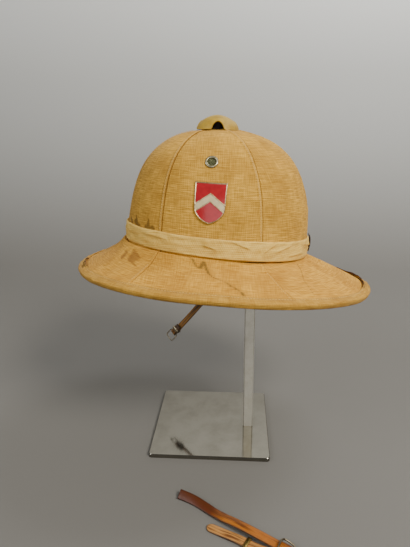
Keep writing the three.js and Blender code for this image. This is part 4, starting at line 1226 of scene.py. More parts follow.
# %% Shape of the ventilator cap
CAP_RADIUS = 23.5
CAP_HEIGHT = 16.0
CAP_POWER = 1.75  # below 2, so that the dome's shoulder is flatter than an ellipse's
CAP_WALL = 1.3
CAP_BASE = 126.4
ARCH_COUNT = 4
ARCH_TURN = math.radians(5)
ARCH_HALF = 6.2
ARCH_HEIGHT = 9.0
ARCH_FLARE = 2.2  # the skirt curves up into each arch over this many mm

cap_matrix = (
    Matrix.Translation((CAP_OFFSET, 0, CROWN_HEIGHT))
    @ Matrix.Rotation(math.radians(-CAP_LEAN), 4, "Y")
    @ Matrix.Translation((0, 0, -CROWN_HEIGHT))
)
cap_turn = np.array(cap_matrix.to_3x3())
cap_shift = np.array(cap_matrix.translation)


def on_cap(points):
    """Points of the level cap in their places on the helmet's pose."""
    return on_helmet(np.asarray(points) @ cap_turn.T + cap_shift)


def arch_edge(angle):
    """The height of the skirt's lower edge: an arch between each two feet."""
    step = 2 * np.pi / ARCH_COUNT
    side = np.abs((angle - ARCH_TURN + step / 2) % step - step / 2) * CAP_RADIUS
    arch = ARCH_FLARE + (ARCH_HEIGHT - ARCH_FLARE) * np.sqrt(np.clip(1 - (side / ARCH_HALF) ** 2, 0, 1))
    flare = ARCH_FLARE * np.clip(1 - (side - ARCH_HALF) / ARCH_FLARE, 0, 1) ** 2
    return np.where(side < ARCH_HALF, arch, flare)


print("the cap's arches are", ARCH_HEIGHT, "mm high and", 2 * ARCH_HALF, "mm wide")

# %% Build the ventilator cap
CAP_COLUMNS = 240
CAP_ROWS = 26
ROW_CROWDING = 1.2  # above 1, so that the rows crowd towards the skirt
THIN_EDGE = 0.15
BEAD_END = 0.06  # how far up the dome the bead takes the place of its first rows
# The bead's section round the skirt's edge: mm up and mm inwards
BEAD_SECTION = ((0.1, 0.9), (0.02, 0.4), (0.02, -0.1), (0.25, -0.5), (0.7, -0.5), (1.0, -0.1))
PIN_RADIUS = 2.2
PIN_HEIGHTS = (-4.0, 6.0, CAP_HEIGHT - CAP_WALL + 0.3)  # mm above the cap's base


def build_cap():
    angle = np.linspace(0, 2 * np.pi, CAP_COLUMNS, endpoint=False)
    edge = np.maximum(arch_edge(angle), THIN_EDGE)
    low = np.arcsin((edge / CAP_HEIGHT) ** (CAP_POWER / 2))
    climb = np.linspace(0, 1, CAP_ROWS)[:, None] ** ROW_CROWDING
    turn = low + (math.radians(88.5) - low) * climb

    def dome(turn, inset):
        radius = (CAP_RADIUS - inset) * np.cos(turn) ** (2 / CAP_POWER)
        height = (CAP_HEIGHT - inset) * np.sin(turn) ** (2 / CAP_POWER)
        return np.stack([radius * np.cos(angle), radius * np.sin(angle), CAP_BASE + height], -1)

    beads = [dome((low + up / CAP_HEIGHT)[None, :], inset) for up, inset in BEAD_SECTION]
    outside = dome(turn, 0.0)[climb[:, 0] > BEAD_END]
    points = np.concatenate([*beads, outside, dome(turn[::-1], CAP_WALL)])
    faces = grid_faces(len(points), CAP_COLUMNS, rows_meet=True, columns_meet=True)
    row = faces.min(1) // CAP_COLUMNS
    top_row = len(beads) + len(outside) - 1
    # No faces join the two domes at the top, where flat caps close the tiny openings instead
    faces, row = faces[row != top_row], row[row != top_row]
    first, middle, last = (CAP_COLUMNS * (top_row + i) for i in range(3))
    caps = [list(range(first, middle)), list(range(middle, last))[::-1]]
    pin_line = [(0, 0, CAP_BASE + height) for height in PIN_HEIGHTS]
    pin = sweep(pin_line, (1, 0, 0), round_outline(PIN_RADIUS, 20))
    points, faces, caps = join_parts([(points.reshape(-1, 3), faces, caps), pin])
    make_piece(
        "cap_shell",
        on_cap(points),
        faces,
        [cap_paint, cap_inside_black_and_shade],
        replaces=["vent_cap"],
        zones=np.concatenate([row > top_row, np.ones(len(pin[1]), bool)]),
        caps=caps,
    )


build_cap()

# %% [markdown]
# ## The ventilation eyelets
# On each side, high up, a nickelled ring is clinched through the cover, with a disc of woven wire behind it. The
# ring is an outline turned round the hole's axis. The screen could be a see-through picture of a mesh, but real
# crossed wires catch the light one by one, so they are swept one by one, over and under each other.

# %% Shape of the eyelets' rings
# The ring's section: mm from the hole's axis and mm out from the cover
EYELET_RING = np.array(
    [
        (4.35, -6.5), (4.35, 0.55), (4.6, 1.0), (5.2, 1.3), (6.0, 1.15), (6.6, 0.6), (6.85, 0.05), (6.0, -0.2),
        (5.2, -0.3), (5.0, -6.5),
    ]
)
RING_COLUMNS = 72


def around(seat, axis, points):
    """Points given as (x, y, along the axis) set on a seat, with x level."""
    level = unit(np.cross([0, 0, 1], axis))
    return seat + points @ np.stack([level, np.cross(axis, level), axis])


turn = np.linspace(0, 2 * np.pi, RING_COLUMNS, endpoint=False)
from_axis, outwards = EYELET_RING[:, :1], EYELET_RING[:, 1:]
ring = np.stack(np.broadcast_arrays(from_axis * np.cos(turn), from_axis * np.sin(turn), outwards), -1)
ring = ring.reshape(-1, 3)
print("eyelet across in mm:", 2 * EYELET_RING[:, 0].max())

# %% Weave the eyelets' screens
SCREEN_RADIUS = 5.0
SCREEN_DEPTH = -1.2
WIRE_SPACING = 1.25
WIRE_RADIUS = 0.3
WIRE_ROWS = np.arange(-3.5, 3.6) * WIRE_SPACING
WIRE_POINTS = 34


def woven_screen(seat, axis):
    """Two sets of wires that cross over and under each other in an eyelet."""
    wires = []
    for row in WIRE_ROWS:
        half = math.sqrt(SCREEN_RADIUS**2 - row**2)
        run = np.linspace(-half, half, WIRE_POINTS)
        over_first = 1 if round(row / WIRE_SPACING - 0.5) % 2 else -1
        weave = WIRE_RADIUS * np.cos(np.pi * (run / WIRE_SPACING - 0.5)) * over_first
        for x, y, height in ((run, 0 * run + row, weave), (0 * run + row, run, -weave)):
            line = around(seat, axis, np.stack([x, y, height + SCREEN_DEPTH], -1))
            wires.append(sweep(line, axis, round_outline(WIRE_RADIUS, 6)))
    return join_parts(wires)


print("wires in a screen:", 2 * len(WIRE_ROWS))

# %% Build the eyelets and their screens
for side, (seat, axis) in zip(("left", "right"), eyelet_seats):
    make_piece(
        f"eyelet_ring_{side}",
        on_helmet(around(seat, axis, ring)),
        grid_faces(len(EYELET_RING), RING_COLUMNS, rows_meet=True, columns_meet=True),
        [eyelet_metal],
        replaces=[f"eyelet_{side}"],
    )
    points, faces, caps = woven_screen(seat, axis)
    make_piece(
        f"wire_screen_{side}",
        on_helmet(points),
        faces,
        [screen_wire],
        replaces=[f"eyelet_screen_{side}"],
        caps=caps,
    )

# %% [markdown]
# ## The badge
# A small shield of gilt copper with red enamel sits on the crown's left side above the band, with a plain cream
# chevron across it. Enamel is glass that was melted into a sunk field, so its surface lies a little below the rim
# and is very smooth. Where enamel ends and metal begins is a stored distance too, so one material draws the rim,
# the field and the chevron with clean edges.

# %% Make the enamel
CLOUDS_PER_METRE = 240.0  # soft clouds of about 4 mm in the glass
GLASS_ROUGHNESS = 0.12
GLASS_EDGE = 0.25  # mm over which the enamel's edge gives way to metal


def enamel(name):
    """Red and cream enamel with bare gilt between: both fields are read from stored distances."""
    # Gilt copper gone pale brown, for the rim and the lines between the fields
    material = worn_surface(name, "#c8b48c", "#9b8258", 3.0, 1.0, 0.36)
    tree = material.node_tree
    shader = tree.nodes["Principled BSDF"]
    place = add_node(tree, "ShaderNodeTexCoord").outputs["Object"]
    cloud = add_node(
        tree, "ShaderNodeTexNoise", {"Vector": place, "Scale": CLOUDS_PER_METRE, "Detail": 3.0}
    ).outputs["Fac"]
    colour, rough = (shader.inputs[socket].links[0].from_socket for socket in ("Base Color", "Roughness"))
    glazed = []
    for stored, light, dark in (("field", "#b5242a", "#8c1a20"), ("chevron", "#dccfa6", "#b9a878")):
        tint = add_node(
            tree, "ShaderNodeMix", {0: cloud, MIX_A: linear(light), MIX_B: linear(dark)}, data_type="RGBA"
        ).outputs[MIX_RESULT]
        distance = add_node(tree, "ShaderNodeAttribute", attribute_name=stored).outputs["Fac"]
        share = add_node(
            tree, "ShaderNodeMapRange", {"Value": distance, "From Min": 0.0, "From Max": GLASS_EDGE}
        ).outputs["Result"]
        colour = add_node(
            tree, "ShaderNodeMix", {0: share, MIX_A: colour, MIX_B: tint}, data_type="RGBA"
        ).outputs[MIX_RESULT]
        rough = add_node(
            tree, "ShaderNodeMix", {0: share, 2: rough, 3: GLASS_ROUGHNESS}, data_type="FLOAT"
        ).outputs[0]
        glazed.append(share)
    either = add_node(tree, "ShaderNodeMath", {0: glazed[0], 1: glazed[1]}, operation="MAXIMUM").outputs[0]
    bare = add_node(tree, "ShaderNodeMath", {0: 1.0, 1: either}, operation="SUBTRACT").outputs[0]
    tree.links.new(colour, shader.inputs["Base Color"])
    tree.links.new(rough, shader.inputs["Roughness"])
    tree.links.new(bare, shader.inputs["Metallic"])
    return material


# Glass over a bright metal: a deep, clean red that mirrors the lamps sharply beside the dull gilt
badge_face = enamel("red_enamel")

# %% Shape of the badge
BADGE_X = -3.0
BADGE_Z = 56.0
BADGE_HALF_WIDTH = 16.0
BADGE_HALF_LENGTH = 19.5
# The shield's half width as a share, at shares of its length from the top
SHIELD_OUTLINE = [
    (0, 1.0), (0.5, 0.97), (0.65, 0.95), (0.72, 0.91), (0.79, 0.82), (0.85, 0.7), (0.9, 0.56), (0.94, 0.41),
    (0.97, 0.26), (1, 0.05),
]
OUTLINE_POINTS = 60


def shield_half(v):
    """The shield's half width in millimetres at a share of its length from the top."""
    at, width = zip(*SHIELD_OUTLINE)
    return BADGE_HALF_WIDTH * np.interp(v, at, width)


def distance_to_edge(places):
    """How far each place of the shield's face lies from its outline."""
    v = np.linspace(0, 1, OUTLINE_POINTS)
    right = np.stack([shield_half(v), BADGE_HALF_LENGTH * (1 - 2 * v)], -1)
    outline = np.concatenate([[right[0] * [-1, 1]], right, right[::-1] * [-1, 1]])
    return stroke_distance(places, [(a, b, 0.0) for a, b in zip(outline, outline[1:])])


print("badge in mm:", 2 * BADGE_HALF_WIDTH, "by", 2 * BADGE_HALF_LENGTH)

# %% The badge's fields and relief
BADGE_LINE = 0.35  # mm of bare metal round each field of enamel
RIM_WIDTH = 1.1
CHEVRON_PEAK = 5.5  # mm above the shield's middle
CHEVRON_SLOPE = 0.72
CHEVRON_HALF = 3.6
CHEVRON_COSINE = 0.8  # turns a height above the slanting band's edge into a distance from it
BADGE_PLATE = 1.2
RIM_RISE = 0.75
EDGE_ROUNDING = 0.7
LINE_RISE = 0.25


def badge_fields(across, up):
    """How far each place lies inside the red field and inside the chevron, and how far the metal stands out there."""
    inside = distance_to_edge(np.stack([across, up], -1))
    middle = CHEVRON_PEAK - CHEVRON_SLOPE * np.abs(across)
    chevron = np.minimum(middle + CHEVRON_HALF - up, up - (middle - CHEVRON_HALF)) * CHEVRON_COSINE
    field = np.minimum(inside - RIM_WIDTH, np.maximum(chevron - BADGE_LINE, -chevron - BADGE_LINE))
    cream = np.minimum(inside - RIM_WIDTH, chevron - BADGE_LINE)
    lift = BADGE_PLATE + RIM_RISE * smooth_step(RIM_WIDTH - inside, -0.1, 0.4)
    lift = lift - EDGE_ROUNDING * smooth_step(0.6 - inside, 0, 0.6)
    lift = lift + LINE_RISE * smooth_step(-np.abs(chevron), -0.6, -0.1)
    return field, cream, lift


# %% Build the badge
BADGE_ROWS = 90
BADGE_COLUMNS = 75
BADGE_SEAT = 0.4  # mm between the cloth and the badge's back


def build_badge():
    v = np.linspace(0, 1, BADGE_ROWS)[:, None]
    u = np.linspace(-1, 1, BADGE_COLUMNS)
    across, up = u * shield_half(v), BADGE_HALF_LENGTH * (1 - 2 * v) + 0 * u
    field, cream, lift = badge_fields(across, up)
    front, _ = side_place(BADGE_X + across, BADGE_Z + up, BADGE_SEAT + lift)
    back, _ = side_place(BADGE_X + across, BADGE_Z + up, BADGE_SEAT)
    rows, columns = across.shape
    quads = grid_faces(rows, columns)
    start = rows * columns
    edge = np.concatenate(
        [
            np.arange(columns),
            columns * np.arange(1, rows) + columns - 1,
            start - columns + np.arange(columns - 2, -1, -1),
            columns * np.arange(rows - 2, 0, -1),
        ]
    )
    following = np.roll(edge, -1)
    walls = np.stack([edge, edge + start, following + start, following], -1)
    bare_back = np.full(start, -1.0)
    make_piece(
        "badge_shield",
        on_helmet(np.concatenate([front.reshape(-1, 3), back.reshape(-1, 3)])),
        np.concatenate([quads, quads[:, ::-1] + start, walls]),
        [badge_face],
        replaces=["shield_badge"],
        values={
            "field": np.concatenate([field.ravel(), bare_back]),
            "chevron": np.concatenate([cream.ravel(), bare_back]),
        },
    )


build_badge()

# %% [markdown]
# ## Leather
# Leather straps are cut from one hide, but each has had its own life: the one under the brim is nearly black, partly
# with sweat and partly as painted shade, with a stretch below brightened to gold as painted light; the torn one on
# the floor dried out to tan with dark ends. Both have a smooth grain side with fine cracks across and darker,
# thinner edges. The colour is a ramp along the strap's length, with streaks that run along it.

# %% Make the leather
STREAK_LENGTH = 24.0
STREAK_WIDTH = 0.3  # as a share of the strap's half width
CRACK_SPACING = 1.6
CRACK_DEPTH = 0.0003  # metres
# The strap's colour darkens towards both its edges
EDGE_DARK_TONE = "#2a170b"


def strap_leather(name, tones, streak, roughness):
    """Strap leather: tones are (mm along the strap, colour). Grain coordinates run along and across it."""
    material, tree, shader = new_material(name)
    grain = add_node(tree, "ShaderNodeAttribute", attribute_name="grain").outputs["Vector"]
    axes = add_node(tree, "ShaderNodeSeparateXYZ", {0: grain})
    length = tones[-1][0]
    along = add_node(tree, "ShaderNodeMath", {0: axes.outputs["X"], 1: length}, operation="DIVIDE").outputs[0]
    ramp = add_node(tree, "ShaderNodeValToRGB", {"Fac": along})
    stops = ramp.color_ramp.elements
    for _ in range(len(tones) - 2):
        stops.new(0.5)
    for stop, (place, _) in zip(stops, tones):
        stop.position = place / length
    for stop, (_, tone) in zip(stops, tones):
        stop.color = linear(tone)
    stretched = add_node(
        tree, "ShaderNodeMapping", {"Vector": grain, "Scale": (1 / STREAK_LENGTH, 1 / STREAK_WIDTH, 0.5)}
    ).outputs["Vector"]
    streaks = add_node(tree, "ShaderNodeTexNoise", {"Vector": stretched, "Scale": 1.0, "Detail": 4.0}).outputs["Fac"]
    streak_share = add_node(
        tree, "ShaderNodeMapRange", {"Value": streaks, "From Min": 0.46, "From Max": 0.62, "To Max": 0.85}
    ).outputs["Result"]
    tone = ramp.outputs["Color"]
    colour = add_node(
        tree, "ShaderNodeMix", {0: streak_share, MIX_A: tone, MIX_B: linear(streak)}, data_type="RGBA"
    ).outputs[MIX_RESULT]
    side = add_node(tree, "ShaderNodeMath", {0: axes.outputs["Y"]}, operation="ABSOLUTE").outputs[0]
    edge_share = add_node(
        tree, "ShaderNodeMapRange", {"Value": side, "From Min": 0.78, "From Max": 1.0, "To Max": 0.75}
    ).outputs["Result"]
    colour = add_node(
        tree, "ShaderNodeMix", {0: edge_share, MIX_A: colour, MIX_B: linear(EDGE_DARK_TONE)}, data_type="RGBA"
    ).outputs[MIX_RESULT]
    cracked = add_node(
        tree, "ShaderNodeMapping", {"Vector": grain, "Scale": (1 / CRACK_SPACING, 0.5, 0.5)}
    ).outputs["Vector"]
    cracks = add_node(
        tree, "ShaderNodeTexVoronoi", {"Vector": cracked, "Scale": 1.0}, feature="DISTANCE_TO_EDGE"
    ).outputs["Distance"]
    bump = add_node(tree, "ShaderNodeBump", {"Height": cracks, "Strength": 0.5, "Distance": CRACK_DEPTH})
    tree.links.new(colour, shader.inputs["Base Color"])
    tree.links.new(bump.outputs["Normal"], shader.inputs["Normal"])
    shader.inputs["Roughness"].default_value = roughness
    return material


# %% Tan the two leathers
# Vegetable-tanned leather, dull, with dark streaks. Near the crown it is dark with sweat and with painted shade
# under the brim; the gold stretch below that is painted light
stub_leather_painted_light_and_shade = strap_leather(
    "sweat_leather_painted_light_and_shade",
    [(0, "#3a2612"), (100, "#1c1008"), (125, "#5f3d10"), (165, "#b0761c"), (200, "#a06a1a"), (215, "#4a2e10")],
    "#38220d",
    0.5,
)
# The same leather dried out: tan with dark streaks, red-brown at the torn end, and a little shinier
loose_leather = strap_leather(
    "dried_tan_leather",
    [(0, "#4a1f0c"), (40, "#5f2a10"), (58, "#b0691f"), (125, "#a05c18"), (150, "#b98044"), (235, "#c38c4c")],
    "#552a0e",
    0.4,
)


# %% Cut a strap
STRAP_SPACING = 0.8  # mm between a strap's sections
EDGE_ROUNDNESS = 0.42  # the radius of a strap's edges as a share of its thickness


def leather_piece(name, route, width, thickness, material, replaces, place=None, round_end=False):
    """A strap along a route of centres and faces, with round edges and, if asked, a round far end."""
    track, at = resample(np.hstack(route), STRAP_SPACING)
    outline = flat_outline(width, thickness, thickness * EDGE_ROUNDNESS)
    sections = np.repeat(outline[None], len(at), 0)
    if round_end:
        from_end = np.clip((at[-1] - at) / (width / 2), 0, 1)
        sections[..., 0] *= np.sqrt(np.clip(1 - (1 - from_end) ** 2, 0.06, 1))[:, None]
    points, quads, caps = sweep(track[:, :3], track[:, 3:], sections)
    grain = np.zeros((len(at), len(outline), 3))
    grain[..., 0] = at[:, None]
    grain[..., 1] = outline[:, 0] / (width / 2)
    grain[..., 2] = outline[:, 1]
    points = place(points) if place else points
    make_piece(name, points, quads, [material], replaces=replaces, values={"grain": grain}, caps=caps)
    print(name, "length in mm:", round(at[-1]))


# %% [markdown]
# ## The loop at the back
# A short keeper of dark leather bridges the band behind, where a veil or a strap could be passed through. It leaves
# the crown only a little, so in the picture it is no more than a dark curve at the outline.

# %% Build the rear loop
LOOP_BOTTOM = 0.0
LOOP_HEIGHT = 19.0
LOOP_WIDTH = 8.0
LOOP_THICKNESS = 1.3
LOOP_SEAT = 2.8  # mm from the crown to the leather
LOOP_BOW = 1.2  # mm that its middle stands out further
LOOP_TUCK = 0.7  # mm that its upper end is drawn in
LOOP_STATIONS = 9

share = np.linspace(0, 1, LOOP_STATIONS)
loop_z = LOOP_BOTTOM + LOOP_HEIGHT * share
loop_x = CROWN_SEMI_X * crown_share(loop_z) + LOOP_SEAT + LOOP_BOW * np.sin(np.pi * share) + LOOP_THICKNESS / 2
loop_x[-1] -= LOOP_TUCK
leather_piece(
    "rear_keeper",
    (np.stack([loop_x, 0 * share, loop_z], -1), np.tile([1.0, 0.0, 0.0], (LOOP_STATIONS, 1))),
    LOOP_WIDTH,
    LOOP_THICKNESS,
    stub_leather_painted_light_and_shade,
    ["rear_loop"],
    place=on_helmet,
)

# %% [markdown]
# ## The chin strap's stub
# One end of the chin strap is still riveted inside the crown. It comes out under the brim and ends in a small ring
# that it is folded round, held by a keeper. The strap has lain in this bend for decades and no longer moves.

# %% Fold a strap round a wire
def fold_stations(start, inwards, outwards, face, radius, steps=12):
    """The stations of a strap that turns back round a wire, from its last point to the first of its return."""
    forward = inwards - outwards
    drift = (inwards + outwards) / np.linalg.norm(forward)
    forward = unit(forward)
    turn = np.linspace(0, np.pi, steps + 1)[1:, None]
    facing = face * np.cos(turn) + forward * np.sin(turn)
    return start - face * radius + facing * radius + drift * radius * turn, facing


# %% Bend wire and metal bands
WIRE_STEP = 0.45  # mm between a bent wire's sections
WIRE_SIDES = 14
BAND_EDGE = 0.18  # mm over which a metal band's outer edges are rounded
BAND_TRIM = 0.3  # mm by which it is narrower and thinner at its very ends


def wire_loop(centre, across, along, width, length, bar, wire):
    """A closed wire: a rounded rectangle whose straight bars are as wide as the strap on them."""
    corner = min(width - bar, length) / 2
    outline = flat_outline(width, length, corner, per_corner=9)
    line = centre + outline[:, :1] * across + outline[:, 1:] * along
    line, _ = resample(np.concatenate([line, line[:1]]), WIRE_STEP)
    points, faces, _ = sweep(line[:-1], np.cross(across, along), round_outline(wire / 2, WIRE_SIDES), closed=True)
    return points, faces


def sleeve(centre, along, face, inner_width, inner_height, length, wall):
    """A bent metal band round a strap, with softly rounded outer edges, as one closed grid."""
    across = np.cross(along, face)
    outer_width, outer_height = inner_width + 2 * wall, inner_height + 2 * wall
    outer = flat_outline(outer_width, outer_height, wall, per_corner=5)
    inner = flat_outline(inner_width, inner_height, wall * 0.4, per_corner=5)
    trimmed = flat_outline(outer_width - BAND_TRIM, outer_height - BAND_TRIM, wall * 0.9, per_corner=5)
    half = length / 2
    rings = [(trimmed, -half), (outer, BAND_EDGE - half), (outer, half - BAND_EDGE), (trimmed, half)]
    rings += [(inner, half), (inner, -half)]
    points = np.array([centre + o[:, :1] * across + o[:, 1:] * face + z * along for o, z in rings])
    return points.reshape(-1, 3), grid_faces(*points.shape[:2], rows_meet=True, columns_meet=True)


# %% Build the strap stub
STRAP_THICKNESS = 1.8
STUB_WIDTH = 8.0
RING_WIRE = 1.3
FOLD_LENGTH = 12.0
ANCHOR_ANGLE = math.radians(57)
ANCHOR_HEIGHTS = (18.0, 10.5, 3.0)  # mm above the crown's base, where the strap lies flat on the wall
UNDER_BRIM = (-14.0, 5.0)  # mm above the base and mm further in than on the wall, where it comes out
# From there to the fold: places on the stand in mm
STUB_ROUTE = [(9, 74.5, 170.5), (-14.1, 73.3, 142.4), (-20.3, 73, 135.1), (-38.6, 73, 113.2), (-47, 73, 103.6)]
STUB_END = (-54.6, 73, 94.7)
STUB_FACE = unit([0.467, 0.804, -0.369])


def anchor_point(z, depth):
    """A place inside the crown's right rear wall, on the stand."""
    inner = CROWN_WALL + depth
    rise = (z / (CROWN_HEIGHT - CROWN_WALL)) if z > 0 else 0.0
    share = (1 - rise**CROWN_POWER) ** (1 / CROWN_POWER)
    x = (CROWN_SEMI_X - inner) * share * math.cos(ANCHOR_ANGLE)
    y = (CROWN_SEMI_Y - inner) * share * math.sin(ANCHOR_ANGLE)
    return on_helmet([x, y, z])


wall_depth = 3 * CLEARANCE + STRAP_THICKNESS / 2
wall_face = turn_matrix @ unit([math.cos(ANCHOR_ANGLE) / CROWN_SEMI_X, math.sin(ANCHOR_ANGLE) / CROWN_SEMI_Y, 0])
stub_points = [anchor_point(z, wall_depth) for z in ANCHOR_HEIGHTS]
stub_points += [anchor_point(UNDER_BRIM[0], wall_depth + UNDER_BRIM[1])]
stub_points += [np.array(place) for place in (*STUB_ROUTE, STUB_END)]
stub_faces = [wall_face] * 3 + [unit(wall_face + STUB_FACE)] + [STUB_FACE] * (len(STUB_ROUTE) + 1)
stub_along = unit(stub_points[-1] - stub_points[-2])
stub_up = unit(STUB_FACE - stub_along * (STUB_FACE @ stub_along))
stub_radius = RING_WIRE / 2 + CLEARANCE + STRAP_THICKNESS / 2
fold_points, fold_faces = fold_stations(stub_points[-1], stub_along, -stub_along, stub_up, stub_radius)
stub_centre = stub_points[-1] - stub_up * stub_radius
leather_piece(
    "chin_strap_stub",
    (
        np.vstack([stub_points, fold_points, fold_points[-1] - stub_along * FOLD_LENGTH]),
        np.vstack([stub_faces, fold_faces, fold_faces[-1:]]),
    ),
    STUB_WIDTH,
    STRAP_THICKNESS,
    stub_leather_painted_light_and_shade,
    ["strap_stub"],
)

# %% Build the stub's ring and keeper
RING_WIDTH = 13.0
RING_LENGTH = 11.0
KEEPER_LENGTH = 4.0
KEEPER_WALL = 0.8
KEEPER_SHARE = 0.45  # how far along the fold the keeper sits

points, faces = wire_loop(
    stub_centre + stub_along * RING_LENGTH / 2,
    np.cross(stub_along, stub_up),
    stub_along,
    RING_WIDTH,
    RING_LENGTH,
    STUB_WIDTH + 2 * CLEARANCE,
    RING_WIRE,
)
make_piece("stub_wire_ring", points, faces, [buckle_metal], replaces=["stub_ring"])
stub_gap = 2 * (stub_radius + STRAP_THICKNESS / 2 + CLEARANCE)
points, faces = sleeve(
    stub_centre - stub_along * FOLD_LENGTH * KEEPER_SHARE,
    stub_along,
    stub_up,
    STUB_WIDTH + 2 * CLEARANCE,
    stub_gap,
    KEEPER_LENGTH,
    KEEPER_WALL,
)
make_piece("stub_metal_keeper", points, faces, [buckle_metal], replaces=["stub_keeper"])

# %% [markdown]
# ## The loose strap
# The torn-off part of the chin strap lies on the floor before the stand, half on its edge at one end, and folds back
# on itself round a buckle. It is a thing of its own. Each row below is a place on the floor, the air under the
# strap there and how far it leans towards the front.

# %% Lay the strap's route on the floor
LOOSE_WIDTH = 10.0
UP = np.array([0.0, 0.0, 1.0])
# Place on the floor and air under the strap in mm, and lean in degrees
LOOSE_ROUTE = [
    (-27, -130, 0.8, 34),
    (-18, -133.5, 0.5, 30),
    (-9, -138, 0.3, 24),
    (1, -144.6, 0.4, 15),
    (10, -151.3, 0.8, 8),
    (20, -158.5, 2.6, 3),
    (30, -165.3, 4.6, 0),
    (41, -172.7, 5.8, 0),
    (53, -179.6, 5.4, 0),
    (66, -187.1, 4.7, 0),
    (84, -198.6, 4.5, 0),
]
# The part that is folded back: place on the floor and air under it in mm
RETURN_ROUTE = [
    (70, -195.8, 0.3),
    (57, -193.2, 1.1),
    (46, -188.4, 1.25),
    (34, -182, 1.25),
    (19, -174.6, 0.4),
    (4.5, -167.5, 0.1),
]


def floor_station(x, y, air, lean, along):
    """A strap's centre and the direction of its face where it lies on the floor."""
    slope = math.radians(lean)
    face = UP * math.cos(slope) + np.cross(along, UP) * math.sin(slope)
    rise = (LOOSE_WIDTH * math.sin(slope) + STRAP_THICKNESS * math.cos(slope)) / 2
    return np.array([x, y, air + rise]), face


def floor_direction(start, end):
    """The level direction from one row of a route to another."""
    return unit([end[0] - start[0], end[1] - start[1], 0])


loose_along = floor_direction(LOOSE_ROUTE[-2], LOOSE_ROUTE[-1])
directions = [floor_direction(a, b) for a, b in zip(LOOSE_ROUTE, LOOSE_ROUTE[1:])] + [loose_along]
out_stations = [floor_station(*row, along) for row, along in zip(LOOSE_ROUTE, directions)]
out_places, out_faces = zip(*out_stations)
print("the loose strap's folded end in mm:", LOOSE_ROUTE[-1][:2])

# %% Build the loose strap
BUCKLE_WIRE = 1.8

loose_back = floor_direction(LOOSE_ROUTE[-1], RETURN_ROUTE[0])
loose_radius = BUCKLE_WIRE / 2 + CLEARANCE + STRAP_THICKNESS / 2
fold_points, fold_faces = fold_stations(out_places[-1], loose_along, loose_back, UP, loose_radius)
return_points = [floor_station(*row, 0, loose_back)[0] for row in RETURN_ROUTE]
leather_piece(
    "torn_chin_strap",
    (
        np.vstack([out_places, fold_points, return_points]),
        np.vstack([out_faces, fold_faces, [-UP] * len(return_points)]),
    ),
    LOOSE_WIDTH,
    STRAP_THICKNESS,
    loose_leather,
    ["loose_strap"],
    round_end=True,
)

# %% Build the buckle and the slider
BUCKLE_WIDTH = 20.0
BUCKLE_LENGTH = 15.0
BUCKLE_LEAN = math.radians(23)
SLIDER_ROW = 2  # the slider sits on the stretch that follows this row of the return

loose_forward = unit(loose_along - loose_back)
buckle_along = -loose_forward * math.cos(BUCKLE_LEAN) + UP * math.sin(BUCKLE_LEAN)
points, faces = wire_loop(
    out_places[-1] - UP * loose_radius + buckle_along * BUCKLE_LENGTH / 2,
    np.cross(loose_forward, UP),
    buckle_along,
    BUCKLE_WIDTH,
    BUCKLE_LENGTH,
    LOOSE_WIDTH + 2 * CLEARANCE,
    BUCKLE_WIRE,
)
make_piece("buckle_frame", points, faces, [buckle_metal], replaces=["loose_buckle"])
slider_along = floor_direction(RETURN_ROUTE[SLIDER_ROW], RETURN_ROUTE[SLIDER_ROW + 1])
points, faces = sleeve(
    return_points[SLIDER_ROW] + KEEPER_LENGTH * slider_along,
    slider_along,
    UP,
    LOOSE_WIDTH + 2 * CLEARANCE,
    STRAP_THICKNESS + 2 * CLEARANCE,
    KEEPER_LENGTH,
    KEEPER_WALL,
)
make_piece("brass_slider", points, faces, [slider_metal], replaces=["loose_slider"])

# %% [markdown]
# ## Pieces that keep their imported shape
# The stand, the rivet and the socket under the cap are already as they should be, so only their surfaces are
# given. The base is polished steel: it mirrors the paper behind it and the strap above it, and what makes it look
# real is the slight unevenness of that mirror.

# %% Give the imported pieces their surfaces
# Near-black tin, a painted shade: dull, so that the hollow under the cap stays dark
socket_painted_shade = worn_surface("socket_tin_in_painted_shade", "#14110c", "#2a2115", 4.0, 0.6, 0.55)
packed_surfaces = {
    "stand_plate": stand_steel,
    "stand_post": post_steel_painted_light,
    "strap_rivet": buckle_metal,
    "vent_socket": socket_painted_shade,
}
for node, material in packed_surfaces.items():
    for material_slot in bpy.data.objects[node].material_slots:
        material_slot.material = material
    print(node, "is given", material.name)

# %% [markdown]
# ## The floor and the light
# A plain sheet of grey paper runs under the stand and curves up behind it, so that no horizon shows. Its colour is
# graduated from a darker foot to a pale top: painted shade on the floor that turns to painted light up the back. One
# lamp of moderate size stands high at the front right and gives the shadow on the floor its direction, and a weaker
# one at the left opens the shadows. A wide faint lamp at the front, like a pale card, gives the upright steel bar
# something to mirror, and one more lamp washes the paper behind. It could all be lit by the world alone, but then
# nothing would cast a clear shadow.

# %% Make the paper
PAPER_GRAIN = 1.2  # mm
PAPER_SHADE_BELOW = 0.01  # metres above the floor where the painted shade starts to lift
# Metres above the floor where the painted light is full
PAPER_PAINTED_LIGHT_ABOVE = 0.8

# Matt uncoated paper with faint flecks: it takes soft shadows and gives no highlight
paper, paper_tree, paper_shader = new_material("paper_sweep")
paper_place = add_node(paper_tree, "ShaderNodeTexCoord").outputs["Object"]
paper_noise = add_node(
    paper_tree, "ShaderNodeTexNoise", {"Vector": paper_place, "Scale": 1000 / PAPER_GRAIN, "Detail": 2.0}
).outputs["Fac"]
paper_height = add_node(paper_tree, "ShaderNodeSeparateXYZ", {0: paper_place}).outputs["Z"]
paper_painted_light_rise = add_node(
    paper_tree,
    "ShaderNodeMapRange",
    {"Value": paper_height, "From Min": PAPER_SHADE_BELOW, "From Max": PAPER_PAINTED_LIGHT_ABOVE},
).outputs["Result"]
